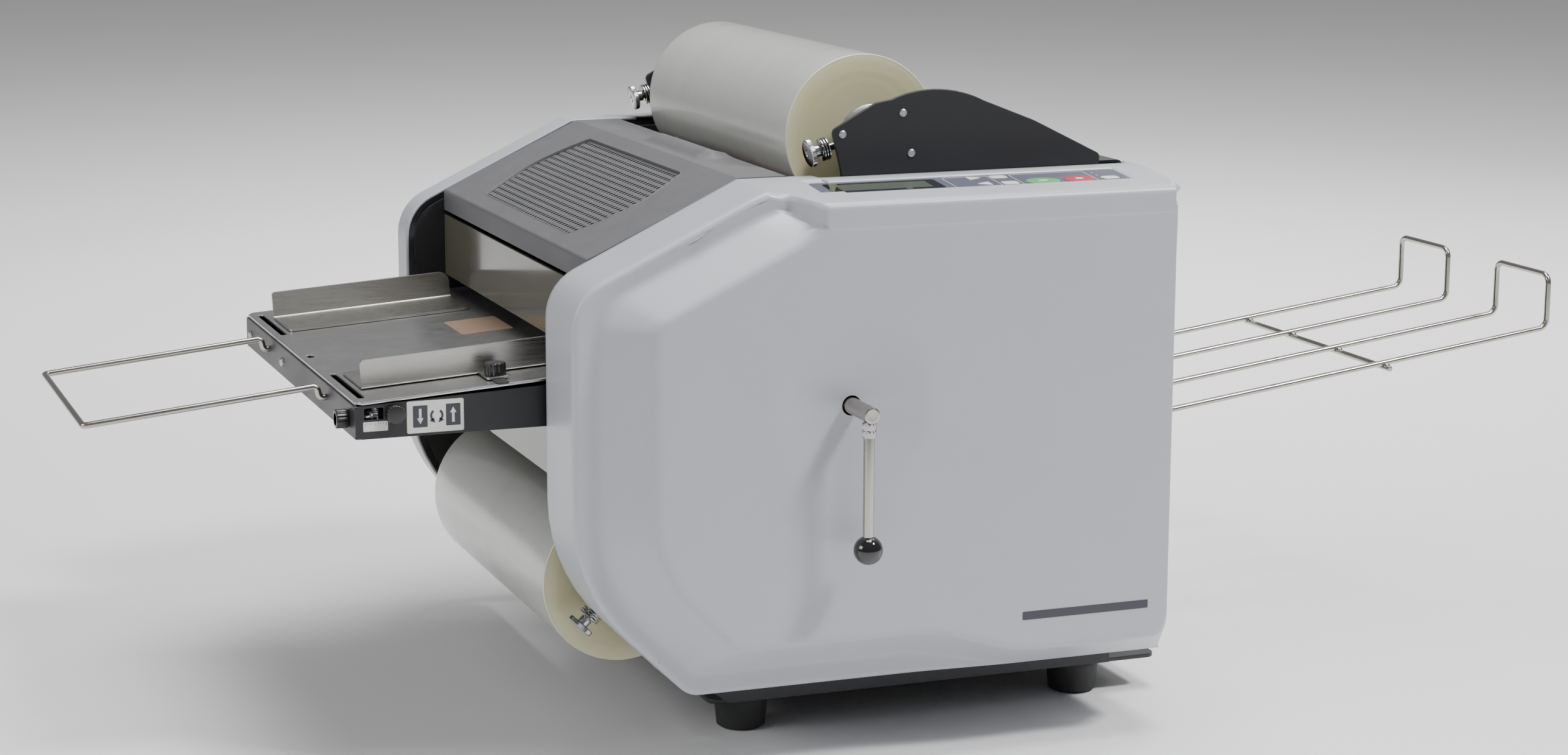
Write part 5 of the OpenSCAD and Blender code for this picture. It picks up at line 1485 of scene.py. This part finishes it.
def build_rear():
    """Rear panel with the exit slot, its bent top, vents, the inlet and the power switch's frame."""
    panel = Gathered()
    outline = box_outline(-TRAY_HALF - 3, TRAY_HALF + 3, 29, 424, 1.2, 4)
    holes = [slot_outline(-168, 168, 291, 309)]
    holes.append(box_outline(134, 166, 84, 136, 1.5, 4))
    for row in range(6):
        for column in range(5):
            x = -130 + column * 50
            holes.append(slot_outline(x - 19, x + 19, 356 + row * 9, 359.5 + row * 9, 4))
    add_plate(panel, [outline, *holes], 2, (0, REAR_OUT, 0), X, Z, 0.4)
    lip = sheet_section(bent_path([(REAR_OUT, 418), (REAR_OUT, 424), (112, 424)], 3.0), 2.0)
    add_section(panel, lip, -TRAY_HALF - 3, TRAY_HALF + 3)
    plate = box_outline(132, 168, 82, 138, 4, 5)
    socket = box_outline(138, 162, 90, 106.5, 2, 4)
    switch = box_outline(140, 160, 113, 127, 1, 3)
    panel.make("rear_panel", BLACK_PAINT, "machine", stands_for=("exit_panel",), slot="powder_black")
    inlet = Gathered()
    inlet_face = REAR_OUT + 2.5
    add_plate(inlet, [plate, socket, switch], 2.5, (0, inlet_face, 0), X, Z, 0.5)
    for outline, depth in ((socket, 16), (switch, 9)):
        low, high = outline.min(0), outline.max(0)
        wall = np.array([[(x, y, z) for x, z in outline] for y in (REAR_OUT, REAR_OUT - depth)])
        inlet.grid(wall, closed_cols=True)
        inlet.add([(low[0], REAR_OUT - depth, low[1]), (high[0], REAR_OUT - depth, low[1]),
                   (high[0], REAR_OUT - depth, high[1]), (low[0], REAR_OUT - depth, high[1])], [[3, 2, 1, 0]])
    for x, z in ((143.5, 96), (150, 100.5), (156.5, 96)):
        pin = box_outline(-1.0, 1.0, -2.0, 2.0, 0.4, 3)
        add_plate(inlet, [pin], 13, (x, 229.5, z), X, Z, 0.3, 1)
    for x in (136.5, 163.5):
        add_turned(inlet, [(0, 2.6), (0.8, 2.4), (1.2, 1.6), (0.9, 1.0)], (x, inlet_face, 110), Y, 24,
                   kind=1)
    inlet.make("inlet_socket", [BLACK_PLASTIC, KNOB_STEEL], "machine", stands_for=("mains_inlet",),
               slot="black_plastic")


build_shields()
build_base()
build_rear()

# ---------------------------------------------------------------- side details

detail = Gathered()
bar_place = (RIGHT_FACE - 0.02, 0, 0)
add_plate(detail, [box_outline(106.5, 210, 100.6, 107.0, 0.8, 4)], 0.25, bar_place, Y, Z, 0.05)
detail.make("side_marking_bar", LABEL_DARK, "machine", slot="panel_film")

# ---------------------------------------------------------------- floor, light and camera


# name, place, target, size and watts of each lamp
LIGHTS = (
    ("top softbox", (0.1, 0.2, 2.5), (0, 0, 0.2), (1.4, 1.2), 62),
    ("front softbox", (0.3, -2.9, 1.4), (0, -0.1, 0.3), (1.6, 1.1), 32),
    ("side softbox", (1.5, 1.5, 2.7), (0.3, 0, 0.25), (0.5, 0.5), 80),
    ("rear softbox", (-1.6, 2.2, 1.7), (0, 0, 0.3), (1.6, 1.2), 18),
    ("backdrop softbox", (-1.3, 0.5, 2.2), (-4.0, 1.4, 0.6), (1.8, 1.2), 90),
)


def add_area(name, place_at, look_at, size, power):
    """Rectangular lamp that faces its target."""
    light = bpy.data.lights.new(name, "AREA")
    light.shape = "RECTANGLE"
    light.size, light.size_y = size
    light.energy = power
    holder = bpy.data.objects.new(name, light)
    holder.location = place_at
    holder.rotation_euler = (Vector(look_at) - Vector(place_at)).to_track_quat("-Z", "Y").to_euler()
    bpy.context.scene.collection.objects.link(holder)


def build_floor():
    """Wide pale floor."""
    mesh = bpy.data.meshes.new("floor")
    mesh.from_pydata([(-8, -8, 0), (8, -8, 0), (8, 8, 0), (-8, 8, 0)], [], [(0, 1, 2, 3)])
    material, tree, shader = new_material("pale floor", Roughness=0.7)
    tone = noise(tree, object_coords(tree), 3.0, 3.0)
    link(tree, ramp(tree, tone, [(0.3, (0.86, 0.86, 0.86)), (0.7, (0.88, 0.88, 0.88))]),
         shader.inputs["Base Color"])
    mesh.materials.append(material)
    floor = bpy.data.objects.new("floor", mesh)
    bpy.context.scene.collection.objects.link(floor)


def build_world():
    """Pale surroundings that brighten upwards."""
    world = bpy.data.worlds.new("studio")
    world.use_nodes = True
    tree = world.node_tree
    tree.nodes.clear()
    out = tree.nodes.new("ShaderNodeOutputWorld")
    back = tree.nodes.new("ShaderNodeBackground")
    height = tree.nodes.new("ShaderNodeSeparateXYZ")
    link(tree, tree.nodes.new("ShaderNodeTexCoord").outputs["Generated"], height.inputs[0])
    sky = ramp(tree, height.outputs["Z"],
               [(0.0, (0.75, 0.76, 0.78)), (0.35, (0.85, 0.86, 0.87)), (1.0, (1, 1, 1))])
    link(tree, sky, back.inputs["Color"])
    back.inputs["Strength"].default_value = 0.3
    link(tree, back.outputs["Background"], out.inputs["Surface"])
    bpy.context.scene.world = world


CAMERA_AT = (2293.68, -849.95, 721.14)     # in machine millimetres, right of the machine and before it
CAMERA_TURN = (79.178, 0.054, 70.209)                 # degrees about x, y and z


def build_camera():
    """Long lens at the right front corner, a little above the machine."""
    camera = bpy.data.cameras.new("studio camera")
    camera.sensor_width = 36.0
    camera.lens = 70.516
    camera.shift_x = 0.0430
    camera.shift_y = -0.0147
    camera.clip_end = 60.0
    holder = bpy.data.objects.new("studio camera", camera)
    holder.location = place(CAMERA_AT)
    holder.rotation_euler = [math.radians(angle) for angle in CAMERA_TURN]
    bpy.context.scene.collection.objects.link(holder)
    bpy.context.scene.camera = holder


build_floor()
build_world()
for light_values in LIGHTS:
    add_area(*light_values)
build_camera()
